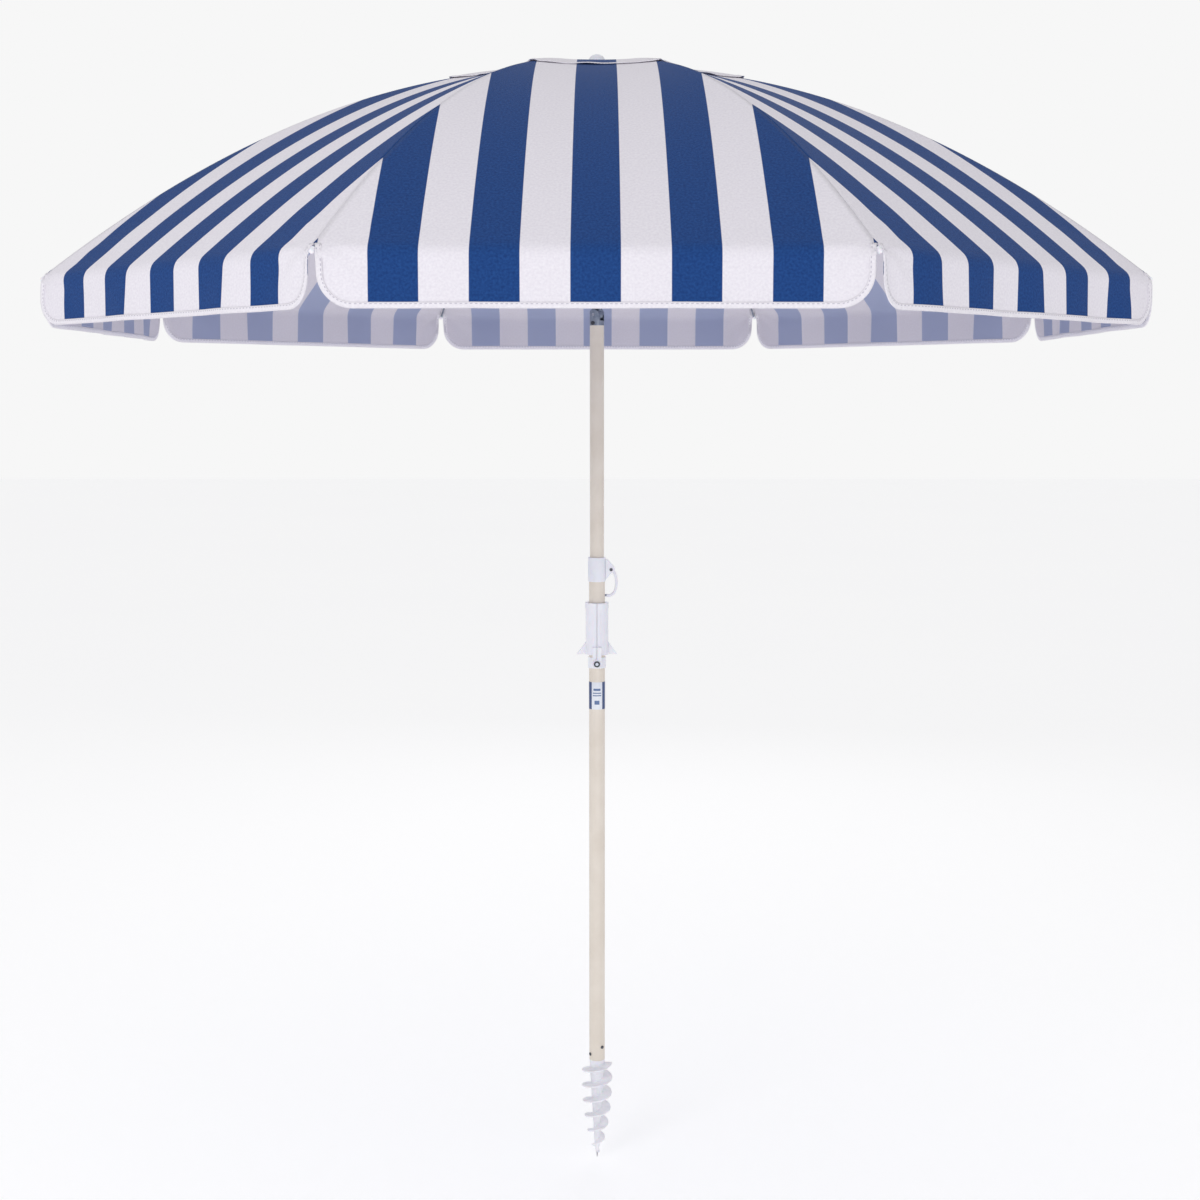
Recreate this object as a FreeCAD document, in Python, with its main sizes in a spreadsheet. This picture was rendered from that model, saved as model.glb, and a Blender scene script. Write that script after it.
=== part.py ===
import FreeCAD, Part
import math
import os
from types import SimpleNamespace

import Sketcher
from FreeCAD import Placement, Rotation, Vector

# A beach umbrella, in millimetres. Z is up, the origin is the point of the sand anchor on the
# pole's axis, and the front is -Y. The canopy has eight ribs, and one panel faces the front.

SIZES = [
    # canopy
    ("rib_count", 8, "ribs, and panels"),
    ("canopy_radius", 1020, "axis to a rib's tip"),
    ("canopy_rise", 939, "fabric's surface at the axis above the lower pole's end"),
    ("canopy_drop", 410, "fall of the fabric from the axis to a rib's tip"),
    ("fabric_thickness", 0.8, "fabric with its coating"),
    ("flap_depth", 88, "valance below the tips"),
    ("seam_gap", 0.3, "fabric edge to the plane of a rib"),
    ("vent_radius", 130, "opening in the canopy's middle"),
    ("cap_radius", 300, "vent cap, axis to corner"),
    ("cap_rise", 9, "vent cap above the canopy"),
    ("cap_gap", 1.5, "vent cap to the finial's stem"),
    # ribs and struts
    ("rib_radius", 2, "steel rib"),
    ("rib_drop", 5, "rib's middle below the fabric's surface"),
    ("rib_overhang", 10, "rib past the fabric"),
    ("eyelet_radius", 3.6, "hole at a panel's corner for the rib"),
    ("tip_radius", 4, "rib tip cap"),
    ("tip_start", 4, "fabric to the cap, along the rib"),
    ("tip_length", 10, "rib tip cap"),
    ("eye_radius", 4, "round ends of ribs and struts"),
    ("eye_width", 4.6, "round ends of ribs and struts"),
    ("hinge_gap", 0.4, "free space beside an eye"),
    ("wire_radius", 1.4, "hinge wire and hinge rivets"),
    ("wire_gap", 0.1, "free space round a hinge wire or rivet"),
    ("bracket_place", 440, "axis to a strut bracket"),
    ("bracket_drop", 12, "strut hinge below the rib's middle"),
    ("bracket_length", 16, "along the rib"),
    ("cheek_thickness", 2, "bracket cheeks"),
    ("clip_above", 1, "bracket above the rib"),
    ("clip_below", 2, "bracket below the rib"),
    ("hinge_head", 1.2, "hinge rivet's head past its shank"),
    ("hinge_cap", 0.8, "height of the hinge rivet's heads"),
    ("strut_radius", 2, "strut rod"),
    ("strut_pin", 1.5, "trunnion radius at a strut's inner end"),
    ("pin_overhang", 1.6, "trunnion past the strut's eye, on each side"),
    ("pin_gap", 0.4, "free space at a trunnion's ends"),
    # hubs
    ("hub_flange", 7, "hub flanges past the hinges"),
    ("crown_half_height", 6, "crown and runner flange above and below the hinge"),
    ("hub_inset", 10, "hinges outside the runner's bore"),
    ("slot_gap", 1, "floor of the hub slots to an eye"),
    ("runner_below", 170, "strut hinges below the rib hinges, open"),
    ("runner_gap", 2, "runner's bore to the upper pole"),
    ("runner_wall", 4, "runner sleeve"),
    ("runner_length", 66, "runner sleeve below its flange"),
    ("catch_drop", 44, "runner catch below the strut hinges"),
    ("runner_lip", 0.6, "bead round the sleeve's lower end"),
    ("catch_nose", 2, "radius of the catch's nose"),
    ("catch_knob", 3.4, "radius of the catch's knob"),
    ("catch_pull", 5, "radius of the catch's pull"),
    ("pull_depth", 3, "thickness of the catch's pull"),
    ("catch_wall", 0.9, "boss round the knob"),
    ("catch_reach", 7, "boss out from the sleeve"),
    ("catch_gap", 0.3, "free space round the catch"),
    ("nose_gap", 0.35, "a latch nose to the pole that it locks"),
    ("finial_radius", 17, "finial"),
    ("finial_height", 21.5, "finial dome"),
    ("finial_stem", 5, "finial stem radius"),
    # poles
    ("upper_radius", 14, "upper pole, top pole and tilt joint"),
    ("upper_wall", 1.1, "upper pole and top pole"),
    ("pole_step", 2, "lower pole's radius past the upper pole's"),
    ("lower_wall", 1.2, "lower pole"),
    ("lower_bottom", 214, "lower end of the lower pole"),
    ("lower_top", 1246, "upper end of the lower pole"),
    ("pole_overlap", 157, "upper pole inside the lower pole"),
    ("pole_gap", 0.3, "sliding fit of the upper pole"),
    ("plug_cap", 8, "end plug below the upper pole"),
    ("hole_count", 4, "height holes"),
    ("hole_step", 60, "height holes"),
    # tilt joint, whose axis is turned from Y
    ("tilt_turn", -35, "degrees about Z"),
    ("upper_length", 614, "upper pole"),
    ("pivot_rise", 21, "tilt axis above the upper pole"),
    ("neck_length", 36, "tilt axis to the top pole"),
    ("tilt_pin_radius", 3, "tilt pin"),
    ("tongue_half", 6.2, "half of the tongue's thickness"),
    ("tongue_radius", 11, "round end of the tongue"),
    ("ear_radius", 10.5, "round ends of the fork"),
    ("button_gap", 0.3, "free space round the button"),
    ("tilt_gap", 0.5, "free space round the tongue"),
    ("neck_rise", 12, "tilt axis to the tongue's shoulder"),
    ("spigot_length", 26, "plugs pushed into the tubes"),
    ("button_radius", 3.8, "tilt button"),
    ("button_drop", 16.4, "button below the tilt axis"),
    ("button_out", 1, "button past the pole's surface"),
    ("button_depth", 6, "button's length"),
    ("button_travel", 2, "button's travel"),
    # collar and latch lever
    ("collar_length", 45, "collar below the lower pole's end"),
    ("collar_wall", 1.8, "collar"),
    ("collar_lip", 3, "lip over the lower pole's end"),
    ("collar_taper", 8, "taper at the collar's lower edge"),
    ("lug_foot", 3, "lug above the collar's lower edge"),
    ("lug_past", 10, "the lug's gap past the collar"),
    ("lug_out", 12, "lever's rivet out from the lower pole"),
    ("lug_drop", 21, "lever's rivet below the lower pole's end"),
    ("lug_shoulder", 20, "top of the lug above the rivet"),
    ("lug_half", 7.2, "half of the lug's thickness"),
    ("lug_gap_half", 4.3, "half of the gap for the lever"),
    ("lug_round", 8, "lug round its rivet"),
    ("rivet_radius", 2, "lever rivet"),
    ("rivet_cap", 1, "height of the lever rivet's heads"),
    ("lever_radius", 2.9, "lever's section"),
    ("lever_eye", 6, "lever round its rivet"),
    ("lever_out", 10, "outer side of the loop past the rivet"),
    ("lever_drop", 52, "rivet to the latch pin"),
    ("lever_bulge", 0.66, "share of that drop where the loop is widest"),
    ("lever_turn", 9, "the loop's lower bend, in from its widest"),
    ("latch_radius", 2.2, "latch pin"),
    ("latch_hole", 3.6, "holes for the latch pin"),
    ("lever_gap", 2.8, "lever's end out from the lower pole"),
    ("bore_gap", 0.08, "free space round a pivot pin"),
    ("pin_seat", 6, "latch pin inside the lever's end"),
    # screw-in handles
    ("handle_drop", 207.5, "handle rivets below the lower pole's end"),
    ("handle_gap", 0.6, "half shells to the lower pole"),
    ("handle_wall", 6, "half shells"),
    ("rim_step", 0.8, "rim outside the half shells"),
    ("rim_height", 12, "rim"),
    ("handle_start", 16.5, "rivet to the shells' lower edge"),
    ("handle_length", 104, "half shells"),
    ("shell_gap", 0.3, "half of the seam between the shells"),
    ("fin_out", 17.9, "fin's tip outside the half shells"),
    ("fin_height", 26, "fin"),
    ("fin_half", 2.5, "half of a fin's thickness"),
    ("mount_wall", 2, "ring under the handles"),
    ("mount_below", 10.5, "ring below the rivets"),
    ("mount_above", 11, "ring above the rivets"),
    ("boss_radius", 9, "rivet boss, and the handles' ears"),
    ("boss_height", 5.7, "boss's face out from the lower pole"),
    ("ear_thickness", 2.6, "handle ears"),
    ("ear_gap", 0.3, "between the ears"),
    ("ear_top", 33, "rivet to the ears' upper edge"),
    ("ear_rise", 1.5, "ears' joint above the shells' lower edge"),
    ("handle_rivet", 4, "rivet radius"),
    ("handle_head", 6, "rivet head radius"),
    ("head_height", 2.2, "rivet head"),
    ("rivet_skin", 1, "mount left under a rivet"),
    # label
    ("label_drop", 301, "label's lower edge below the lower pole's end"),
    ("label_height", 55, "label"),
    ("label_thickness", 0.2, "label"),
    ("label_angle", 200, "degrees round the pole"),
    # sand anchor
    ("anchor_spigot", 48, "anchor inside the lower pole"),
    ("core_tip", 5, "core radius above the point"),
    ("core_point", 25, "length of the point"),
    ("flight_width", 15.5, "auger flight past the pole at the top"),
    ("flight_pitch", 32.4, "auger flight"),
    ("flight_turns", 6, "auger flight"),
    ("flight_clear", 8, "flight's upper end below the pole"),
    ("flight_root", 9, "flight's thickness at the core"),
    ("flight_edge", 3, "flight's thickness at its edge"),
    ("screw_radius", 1.6, "anchor screws"),
    ("screw_head", 3.2, "anchor screw heads"),
    ("screw_cap", 1.4, "height of the screw heads"),
    ("screw_depth", 8, "screws inside the pole's surface"),
    ("screw_left", 12.5, "left screw above the pole's lower end"),
    ("screw_right", 28.5, "right screw above the pole's lower end"),
]

S = SimpleNamespace(**{alias: value for alias, value, note in SIZES})


def rib_height(radius):
    """Height of a rib's middle line."""
    return S.canopy_top - S.rib_drop - S.canopy_drop * (radius / S.canopy_radius) ** 2


# What follows from the sizes above.
S.canopy_top = S.lower_top + S.canopy_rise
S.label_bottom = S.lower_top - S.label_drop
S.lower_radius = S.upper_radius + S.pole_step
S.flight_radius = S.lower_radius + S.flight_width
S.flight_top = S.lower_bottom - S.flight_clear
S.runner_bore = S.upper_radius + S.runner_gap
S.hub_radius = S.runner_bore + S.hub_inset
S.crown_radius = S.hub_radius + S.hub_flange
S.slot_floor = S.hub_radius - S.eye_radius - S.slot_gap
S.hinge_height = rib_height(S.hub_radius)
S.runner_height = S.hinge_height - S.runner_below
S.crown_base = S.hinge_height - 2 * S.crown_half_height
S.upper_bottom = S.lower_top - S.pole_overlap
S.tilt_base = S.upper_bottom + S.upper_length
S.tilt_pivot = S.tilt_base + S.pivot_rise
S.tilt_end = S.tilt_pivot + S.neck_length
S.collar_bottom = S.lower_top - S.collar_length
S.lug_reach = S.lower_radius + S.lug_out
S.lug_height = S.lower_top - S.lug_drop
S.latch_height = S.lug_height - S.lever_drop
S.lever_reach = S.lug_reach + S.lever_out
S.lever_end = S.lower_radius + S.lever_gap
S.handle_pivot = S.lower_top - S.handle_drop
S.handle_inner = S.lower_radius + S.handle_gap
S.handle_outer = S.handle_inner + S.handle_wall
S.rim_outer = S.handle_outer + S.rim_step
S.fin_reach = S.handle_outer + S.fin_out
S.mount_radius = S.lower_radius + S.mount_wall
S.boss_face = S.lower_radius + S.boss_height
S.rivet_root = S.lower_radius + S.rivet_skin

doc = FreeCAD.newDocument("BeachUmbrella")
sheet = doc.addObject("Spreadsheet::Sheet", "Sizes")
NOTES = {alias: note for alias, value, note in SIZES}
for row, (alias, value) in enumerate(vars(S).items(), start=1):
    sheet.set(f"A{row}", alias)
    sheet.set(f"B{row}", repr(value))
    sheet.setAlias(f"B{row}", alias)
    sheet.set(f"C{row}", NOTES.get(alias, "worked out from the sizes above"))
doc.recompute()

nodes = []


def bound(text):
    """An expression in the sheet's aliases, with the sheet's name before each of them."""
    words = str(text).replace("(", " ( ").replace(")", " ) ").split()
    return " ".join("Sizes." + word if word in vars(S) else word for word in words)


def bind(thing, **values):
    """Bind properties to expressions; x, y and z are the placement's."""
    for name, text in values.items():
        path = f".Placement.Base.{name}" if name in ("x", "y", "z") else name
        thing.setExpression(path, bound(text))
    return thing


def node(thing, label):
    thing.Label = label
    nodes.append(thing)
    return thing


# ---------------------------------------------------------------- primitives and booleans

ALONG_X = Rotation(Vector(0, 1, 0), 90)
ALONG_Y = Rotation(Vector(1, 0, 0), -90)


def cylinder(name, radius, length, z=0, x=0, y=0, turn=None):
    """A cylinder that starts at x, y, z and runs up, or along the turned axis."""
    c = doc.addObject("Part::Cylinder", name)
    c.Placement = Placement(Vector(0, 0, 0), turn or Rotation())
    return bind(c, Radius=radius, Height=length, x=x, y=y, z=z)


def box(name, length, width, height, x, y, z):
    b = doc.addObject("Part::Box", name)
    return bind(b, Length=length, Width=width, Height=height, x=x, y=y, z=z)


def cut(name, base, tool):
    c = doc.addObject("Part::Cut", name)
    c.Base = base
    c.Tool = tool
    c.Refine = False
    return c


def fuse(name, *shapes):
    f = doc.addObject("Part::MultiFuse", name)
    f.Shapes = list(shapes)
    f.Refine = False
    return f


def common(name, *shapes):
    c = doc.addObject("Part::MultiCommon", name)
    c.Shapes = list(shapes)
    c.Refine = False
    return c


def tube(name, outer, inner, length, z):
    return cut(
        name,
        cylinder(name + "_outside", outer, length, z),
        cylinder(name + "_inside", inner, f"{length} + 2", f"{z} - 1"),
    )


# ---------------------------------------------------------------- sketched bodies


# Where an outline's corners stand before their sizes place them.
START_RADIUS = 100


def new_body(name):
    return doc.addObject("PartDesign::Body", name)


def outline(body, name, role, corners, offset=0):
    """A closed sketch of straight edges on one of the body's own planes. Each corner is a pair
    of expressions, measured from the sketch's origin."""
    sketch = body.newObject("Sketcher::SketchObject", name)
    plane = [f for f in body.Origin.OriginFeatures if f.Role == role][0]
    sketch.AttachmentSupport = (plane, [""])
    sketch.MapMode = "FlatFace"
    count = len(corners)
    turns = [2 * math.pi * k / count for k in range(count)]
    start = [Vector(math.cos(turn), math.sin(turn), 0) * START_RADIUS for turn in turns]
    for k in range(count):
        sketch.addGeometry(Part.LineSegment(start[k], start[(k + 1) % count]))
    for k in range(count):
        sketch.addConstraint(Sketcher.Constraint("Coincident", k, 2, (k + 1) % count, 1))
    for k, (across, up) in enumerate(corners):
        for kind, text in (("DistanceX", across), ("DistanceY", up)):
            index = sketch.addConstraint(Sketcher.Constraint(kind, -1, 1, k, 1, 1.0))
            sketch.renameConstraint(index, f"{kind}{k}")
            sketch.setExpression(f"Constraints.{kind}{k}", bound(text))
    return sketch


def turned(body, name, corners):
    """Revolve an outline in the XZ plane about Z."""
    turn = body.newObject("PartDesign::Revolution", name)
    turn.Profile = outline(body, name + "_outline", "XZ_Plane", corners)
    turn.ReferenceAxis = (turn.Profile[0], ["V_Axis"])
    turn.Angle = 360
    return turn


def padded(body, name, corners, thickness):
    """Pad an outline in the XZ plane to both sides."""
    pad = body.newObject("PartDesign::Pad", name)
    pad.Profile = outline(body, name + "_outline", "XZ_Plane", corners)
    pad.Midplane = True
    pad.setExpression("Length", bound(thickness))
    return pad


def turned_node(label, corners):
    body = new_body(label)
    turned(body, label + "_turn", corners)
    return node(body, label)


# ---------------------------------------------------------------- lower pole and sand anchor


def lower_pole():
    wall = tube(
        "lower_tube", "lower_radius", "lower_radius - lower_wall",
        "lower_top - lower_bottom", "lower_bottom",
    )
    latch = cylinder(
        "lower_latch_hole", "latch_hole", "lower_radius", z="latch_height", turn=ALONG_X
    )
    node(cut("lower_pole_body", wall, fuse("lower_holes", latch, *screw_shanks("hole"))), "lower_pole")


SCREW_TURN = {"left": -148, "right": -51}


def screw_part(name, side, radius, start, length):
    """A cylinder along one screw's axis, from a distance to the axis outwards."""
    angle = math.radians(SCREW_TURN[side])
    out = Vector(math.cos(angle), math.sin(angle), 0)
    piece = doc.addObject("Part::Cylinder", name)
    piece.Placement = Placement(Vector(0, 0, 0), Rotation(Vector(0, 0, 1), out))
    return bind(
        piece, Radius=radius, Height=length, x=f"( {start} ) * {out.x}",
        y=f"( {start} ) * {out.y}", z=f"lower_bottom + screw_{side}",
    )


def screw_shanks(name):
    """The two anchor screws' shanks, to the left and right of the front."""
    return [
        screw_part(f"{name}_{side}", side, "screw_radius", "lower_radius - screw_depth",
                   "screw_depth")
        for side in SCREW_TURN
    ]


def anchor_screws():
    """Each head is hollowed to sit on the round pole, with its shank inside."""
    heads = [
        screw_part(f"screw_head_{side}", side, "screw_head", "lower_radius - screw_cap",
                   "screw_cap * 2")
        for side in SCREW_TURN
    ]
    pole = cylinder("screw_pole", "lower_radius", "lower_top")
    seated = cut("screw_heads_seated", fuse("screw_head_pair", *heads), pole)
    shanks = common("screw_shanks_inside", fuse("screw_shank_pair", *screw_shanks("shank")), pole)
    node(fuse("anchor_screws_body", seated, shanks), "anchor_screws")


def flight_point(turn_angle, radius, height):
    return Vector(radius * math.cos(turn_angle), radius * math.sin(turn_angle), height)


def core_radius_at(height):
    """The anchor core's radius: a cone, then a point."""
    if height < S.core_point:
        return S.core_tip * height / S.core_point
    share = (height - S.core_point) / (S.lower_bottom - S.core_point)
    return S.core_tip + (S.lower_radius - S.core_tip) * share


def flight_radius_at(height):
    """The flight keeps its width, and comes in to the core towards the point."""
    share = min(height / S.flight_top, 1)
    return S.flight_radius * (1 - (1 - share) ** 3)


def auger_flight():
    """The screw thread of the sand anchor, lofted through sections round the core. It starts
    inside the core, and gets thinner over its first and last sections."""
    steps_per_turn = 16
    faded = 6
    count = S.flight_turns * steps_per_turn
    first_height = S.flight_top - S.flight_pitch * S.flight_turns
    sections = []
    for k in range(count + 1):
        height = first_height + S.flight_pitch * k / steps_per_turn
        angle = 2 * math.pi * k / steps_per_turn
        outer = flight_radius_at(height)
        inner = min(core_radius_at(height) * 0.8, outer - 1.5)
        fade = min(1, (count - k + 1) / faded, (k + 2) / faded)
        root = S.flight_root / 2 * fade
        edge = S.flight_edge / 2 * fade
        corners = [
            flight_point(angle, inner, height - root),
            flight_point(angle, outer, height - edge),
            flight_point(angle, outer, height + edge),
            flight_point(angle, inner, height + root),
        ]
        sections.append(Part.makePolygon(corners + corners[:1]))
    return Part.makeLoft(sections, True, True)


def sand_anchor():
    flight = doc.addObject("Part::Feature", "auger_flight")
    flight.Shape = auger_flight()
    core = new_body("anchor_core")
    turned(core, "anchor_core_turn", [
        ("0", "0"),
        ("core_tip", "core_point"),
        ("lower_radius", "lower_bottom"),
        ("lower_radius - lower_wall", "lower_bottom"),
        ("lower_radius - lower_wall", "lower_bottom + anchor_spigot"),
        ("0", "lower_bottom + anchor_spigot"),
    ])
    whole = fuse("anchor_whole", core, flight)
    node(cut("sand_anchor_body", whole, fuse("anchor_holes", *screw_shanks("pilot"))), "sand_anchor")


def pole_label():
    """A wrapped label on the front of the lower pole."""
    outside = cylinder("label_outside", "lower_radius + label_thickness", "label_height", "label_bottom")
    outside.setExpression("Angle", bound("label_angle"))
    outside.Placement.Rotation = Rotation(Vector(0, 0, 1), -90 - S.label_angle / 2)
    inside = cylinder("label_inside", "lower_radius", "label_height + 2", "label_bottom - 1")
    node(cut("pole_label_body", outside, inside), "pole_label")


# ---------------------------------------------------------------- collar and latch lever


def pole_collar():
    body = new_body("collar_blank")
    turned(body, "collar_turn", [
        ("lower_radius", "collar_bottom"),
        ("lower_radius + collar_wall * 0.7", "collar_bottom"),
        ("lower_radius + collar_wall", "collar_bottom + collar_taper"),
        ("lower_radius + collar_wall", "lower_top + collar_lip"),
        ("upper_radius + pole_gap", "lower_top + collar_lip"),
        ("upper_radius + pole_gap", "lower_top"),
        ("lower_radius", "lower_top"),
    ])
    padded(body, "collar_lug", [
        ("lower_radius + collar_wall / 2", "lug_height + lug_shoulder"),
        ("lug_reach - lug_round", "lug_height + lug_shoulder"),
        ("lug_reach + lug_round * 0.8", "lug_height + lug_round * 0.6"),
        ("lug_reach + lug_round", "lug_height"),
        ("lug_reach + lug_round * 0.7", "lug_height - lug_round * 0.7"),
        ("lug_reach", "lug_height - lug_round"),
        ("lower_radius + collar_wall / 2", "collar_bottom + lug_foot"),
    ], "lug_half * 2")
    gap = body.newObject("PartDesign::Pocket", "collar_gap")
    gap.Profile = outline(body, "collar_gap_outline", "XZ_Plane", [
        ("lower_radius + collar_wall", "collar_bottom - lug_past"),
        ("lower_radius + collar_wall", "lug_height + lug_shoulder + lug_past"),
        ("lug_reach + lug_round * 2", "lug_height + lug_shoulder + lug_past"),
        ("lug_reach + lug_round * 2", "collar_bottom - lug_past"),
    ])
    gap.Midplane = True
    gap.setExpression("Length", bound("lug_gap_half * 2"))
    body.Tip = gap
    bore = cylinder(
        "lug_bore", "rivet_radius", "lug_half * 4", z="lug_height", x="lug_reach",
        y="-2 * lug_half", turn=ALONG_Y,
    )
    node(cut("pole_collar_body", body, bore), "pole_collar")
    rivet = fuse(
        "lever_rivet_body",
        cylinder(
            "lever_rivet_shank", "rivet_radius", "lug_half * 2", z="lug_height",
            x="lug_reach", y="-1 * lug_half", turn=ALONG_Y,
        ),
        cylinder(
            "lever_rivet_head", "rivet_radius * 1.6", "rivet_cap", z="lug_height",
            x="lug_reach", y="-1 * lug_half - rivet_cap", turn=ALONG_Y,
        ),
        cylinder(
            "lever_rivet_tail", "rivet_radius * 1.6", "rivet_cap", z="lug_height",
            x="lug_reach", y="lug_half", turn=ALONG_Y,
        ),
    )
    node(rivet, "lever_rivet")


def lever_path():
    """The middle line of the lever's loop, from its eye out and back in to the pole."""
    eye = Vector(S.lug_reach, 0, S.lug_height)
    end = Vector(S.lever_end, 0, S.latch_height)
    outer = Vector(S.lever_reach, 0, S.lug_height - S.lever_drop * S.lever_bulge)
    turn_end = Vector(S.lever_reach - S.lever_turn, 0, S.latch_height + 1)
    curve = Part.BSplineCurve()
    curve.interpolate([eye, outer, turn_end, end])
    return Part.Wire([curve.toShape()])


def latch_lever():
    path = lever_path()
    loop = doc.addObject("Part::Feature", "lever_loop")
    start = path.Edges[0]
    ring = Part.Wire([
        Part.makeCircle(S.lever_radius, start.valueAt(start.FirstParameter),
                        start.tangentAt(start.FirstParameter))
    ])
    loop.Shape = path.makePipeShell([ring], True, True)
    eye = cylinder(
        "lever_eye_disc", "lever_eye", "lever_radius * 2", z="lug_height", x="lug_reach",
        y="-1 * lever_radius", turn=ALONG_Y,
    )
    whole = fuse("lever_whole", loop, eye)
    bore = cylinder(
        "lever_bore", "rivet_radius + bore_gap", "lever_radius * 4", z="lug_height", x="lug_reach",
        y="-2 * lever_radius", turn=ALONG_Y,
    )
    seat = cylinder(
        "lever_pin_seat", "latch_radius", "pin_seat * 2", z="latch_height",
        x="lever_end - pin_seat", turn=ALONG_X,
    )
    node(cut("latch_lever_body", whole, fuse("lever_holes", bore, seat)), "latch_lever")
    pin = cylinder(
        "latch_pin_body", "latch_radius", "lever_end + pin_seat - upper_radius - nose_gap",
        z="latch_height", x="upper_radius + nose_gap", turn=ALONG_X,
    )
    node(pin, "latch_pin")
    coil = doc.addObject("Part::Torus", "lever_spring_body")
    coil.Placement = Placement(Vector(0, 0, 0), ALONG_Y)
    bind(
        coil, Radius1="rivet_radius + 1.2", Radius2="( lug_gap_half - lever_radius ) / 2 - 0.15",
        x="lug_reach", y="( lever_radius + lug_gap_half ) / 2", z="lug_height",
    )
    node(coil, "lever_spring")


# ---------------------------------------------------------------- screw-in handles


def across_y(name, radius, face, depth, side, z):
    """A cylinder along Y on the front (-1) or back (1), from face outwards by depth."""
    start = f"{face}" if side > 0 else f"-1 * ( {face} + {depth} )"
    return cylinder(name, radius, depth, z=z, y=start, turn=ALONG_Y)


def handle_mount():
    ring = cylinder(
        "mount_ring", "mount_radius", "mount_below + mount_above", "handle_pivot - mount_below"
    )
    bosses = [
        across_y(f"mount_boss_{side}", "boss_radius", "0", "boss_face", side, "handle_pivot")
        for side in (-1, 1)
    ]
    pole = cylinder("mount_pole", "lower_radius", "lower_top", "0")
    shanks = [
        across_y(f"mount_bore_{side}", "handle_rivet", "rivet_root", "boss_face", side, "handle_pivot")
        for side in (-1, 1)
    ]
    whole = fuse("mount_whole", ring, *bosses)
    node(cut("handle_mount_body", whole, fuse("mount_holes", pole, *shanks)), "handle_mount")


RIVET_LENGTH = "boss_face - rivet_root + ear_thickness * 2 + ear_gap * 3"


def handle_rivets():
    pieces = []
    for side in (-1, 1):
        shank = across_y(f"rivet_shank_{side}", "handle_rivet", "rivet_root", RIVET_LENGTH, side,
                         "handle_pivot")
        head = across_y(f"rivet_head_{side}", "handle_head",
                        "boss_face + ear_thickness * 2 + ear_gap * 3", "head_height", side,
                        "handle_pivot")
        pieces.append(fuse(f"handle_rivet_{side}", shank, head))
    node(fuse("handle_rivets_body", *pieces), "handle_rivets")


def handle(label, side, layer):
    """One half shell with its fin and two ears. side is -1 for the left one, and layer is the
    place of its ears outside the boss, 0 or 1."""
    low = "handle_pivot + handle_start"
    shell = fuse(
        label + "_shell",
        cylinder(label + "_wall", "handle_outer", "handle_length", low),
        cylinder(label + "_rim", "rim_outer", "rim_height", f"{low} + handle_length - rim_height"),
    )
    fin = new_body(label + "_fin")
    padded(fin, label + "_fin_pad", [
        (f"{side} * ( handle_inner + 1 )", low),
        (f"{side} * fin_reach", low),
        (f"{side} * ( handle_outer - 1 )", f"{low} + fin_height"),
        (f"{side} * ( handle_inner + 1 )", f"{low} + fin_height"),
    ], "fin_half * 2")
    hollow = cylinder(label + "_hollow", "handle_inner", "handle_length + 4", f"{low} - 2")
    reach = "rim_outer * 3"
    other_half = box(
        label + "_other_half", reach, f"{reach} * 2", "handle_length + 4",
        "-1 * shell_gap" if side < 0 else f"shell_gap - {reach}", f"-1 * {reach}", f"{low} - 2",
    )
    half = cut(label + "_half", fuse(label + "_full", shell, fin),
               fuse(label + "_away", hollow, other_half))
    ear_face = f"boss_face + ear_gap + {layer} * ( ear_thickness + ear_gap )"
    width = "boss_radius - shell_gap"
    left = "-1 * boss_radius" if side < 0 else "shell_gap"
    parts = [half]
    for face in (-1, 1):
        disc = across_y(f"{label}_ear_{face}", "boss_radius", ear_face, "ear_thickness", face,
                        "handle_pivot")
        strap_y = ear_face if face > 0 else f"-1 * ( {ear_face} + ear_thickness )"
        strap = box(f"{label}_strap_{face}", width, "ear_thickness", "ear_top", left, strap_y,
                    "handle_pivot")
        deep = f"{ear_face} + ear_thickness - handle_inner - 2"
        bridge_y = "handle_inner + 2" if face > 0 else f"-1 * ( {ear_face} + ear_thickness )"
        bridge = box(f"{label}_bridge_{face}", width, deep, "ear_top - handle_start - ear_rise",
                     left, bridge_y, f"{low} + ear_rise")
        parts += [disc, strap, bridge]
    bore = cylinder(label + "_bore", "handle_rivet + bore_gap", "rim_outer * 8",
                    z="handle_pivot", y="-4 * rim_outer", turn=ALONG_Y)
    node(cut(label + "_body", fuse(label + "_whole", *parts), bore), label)


# ---------------------------------------------------------------- upper pole and tilt joint


def upper_pole():
    wall = tube("upper_tube", "upper_radius", "upper_radius - upper_wall", "upper_length",
                "upper_bottom")
    holes = [
        cylinder(f"height_hole_{k}", "latch_hole", "upper_radius + 5",
                 z=f"latch_height + {k} * hole_step", turn=ALONG_X)
        for k in range(S.hole_count)
    ]
    node(cut("upper_pole_body", wall, fuse("height_holes", *holes)), "upper_pole")
    turned_node("pole_end_plug", [
        ("0", "upper_bottom - plug_cap"),
        ("lower_radius - lower_wall - pole_gap", "upper_bottom - plug_cap"),
        ("lower_radius - lower_wall - pole_gap", "upper_bottom"),
        ("upper_radius - upper_wall", "upper_bottom"),
        ("upper_radius - upper_wall", "upper_bottom + spigot_length / 2"),
        ("0", "upper_bottom + spigot_length / 2"),
    ])


def on_tilt_axis(thing):
    """Turn a piece that was made about the Y axis to the tilt axis's own heading."""
    thing.Placement = Placement(Vector(0, 0, 0), Rotation(Vector(0, 0, 1), S.tilt_turn))
    return thing


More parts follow.
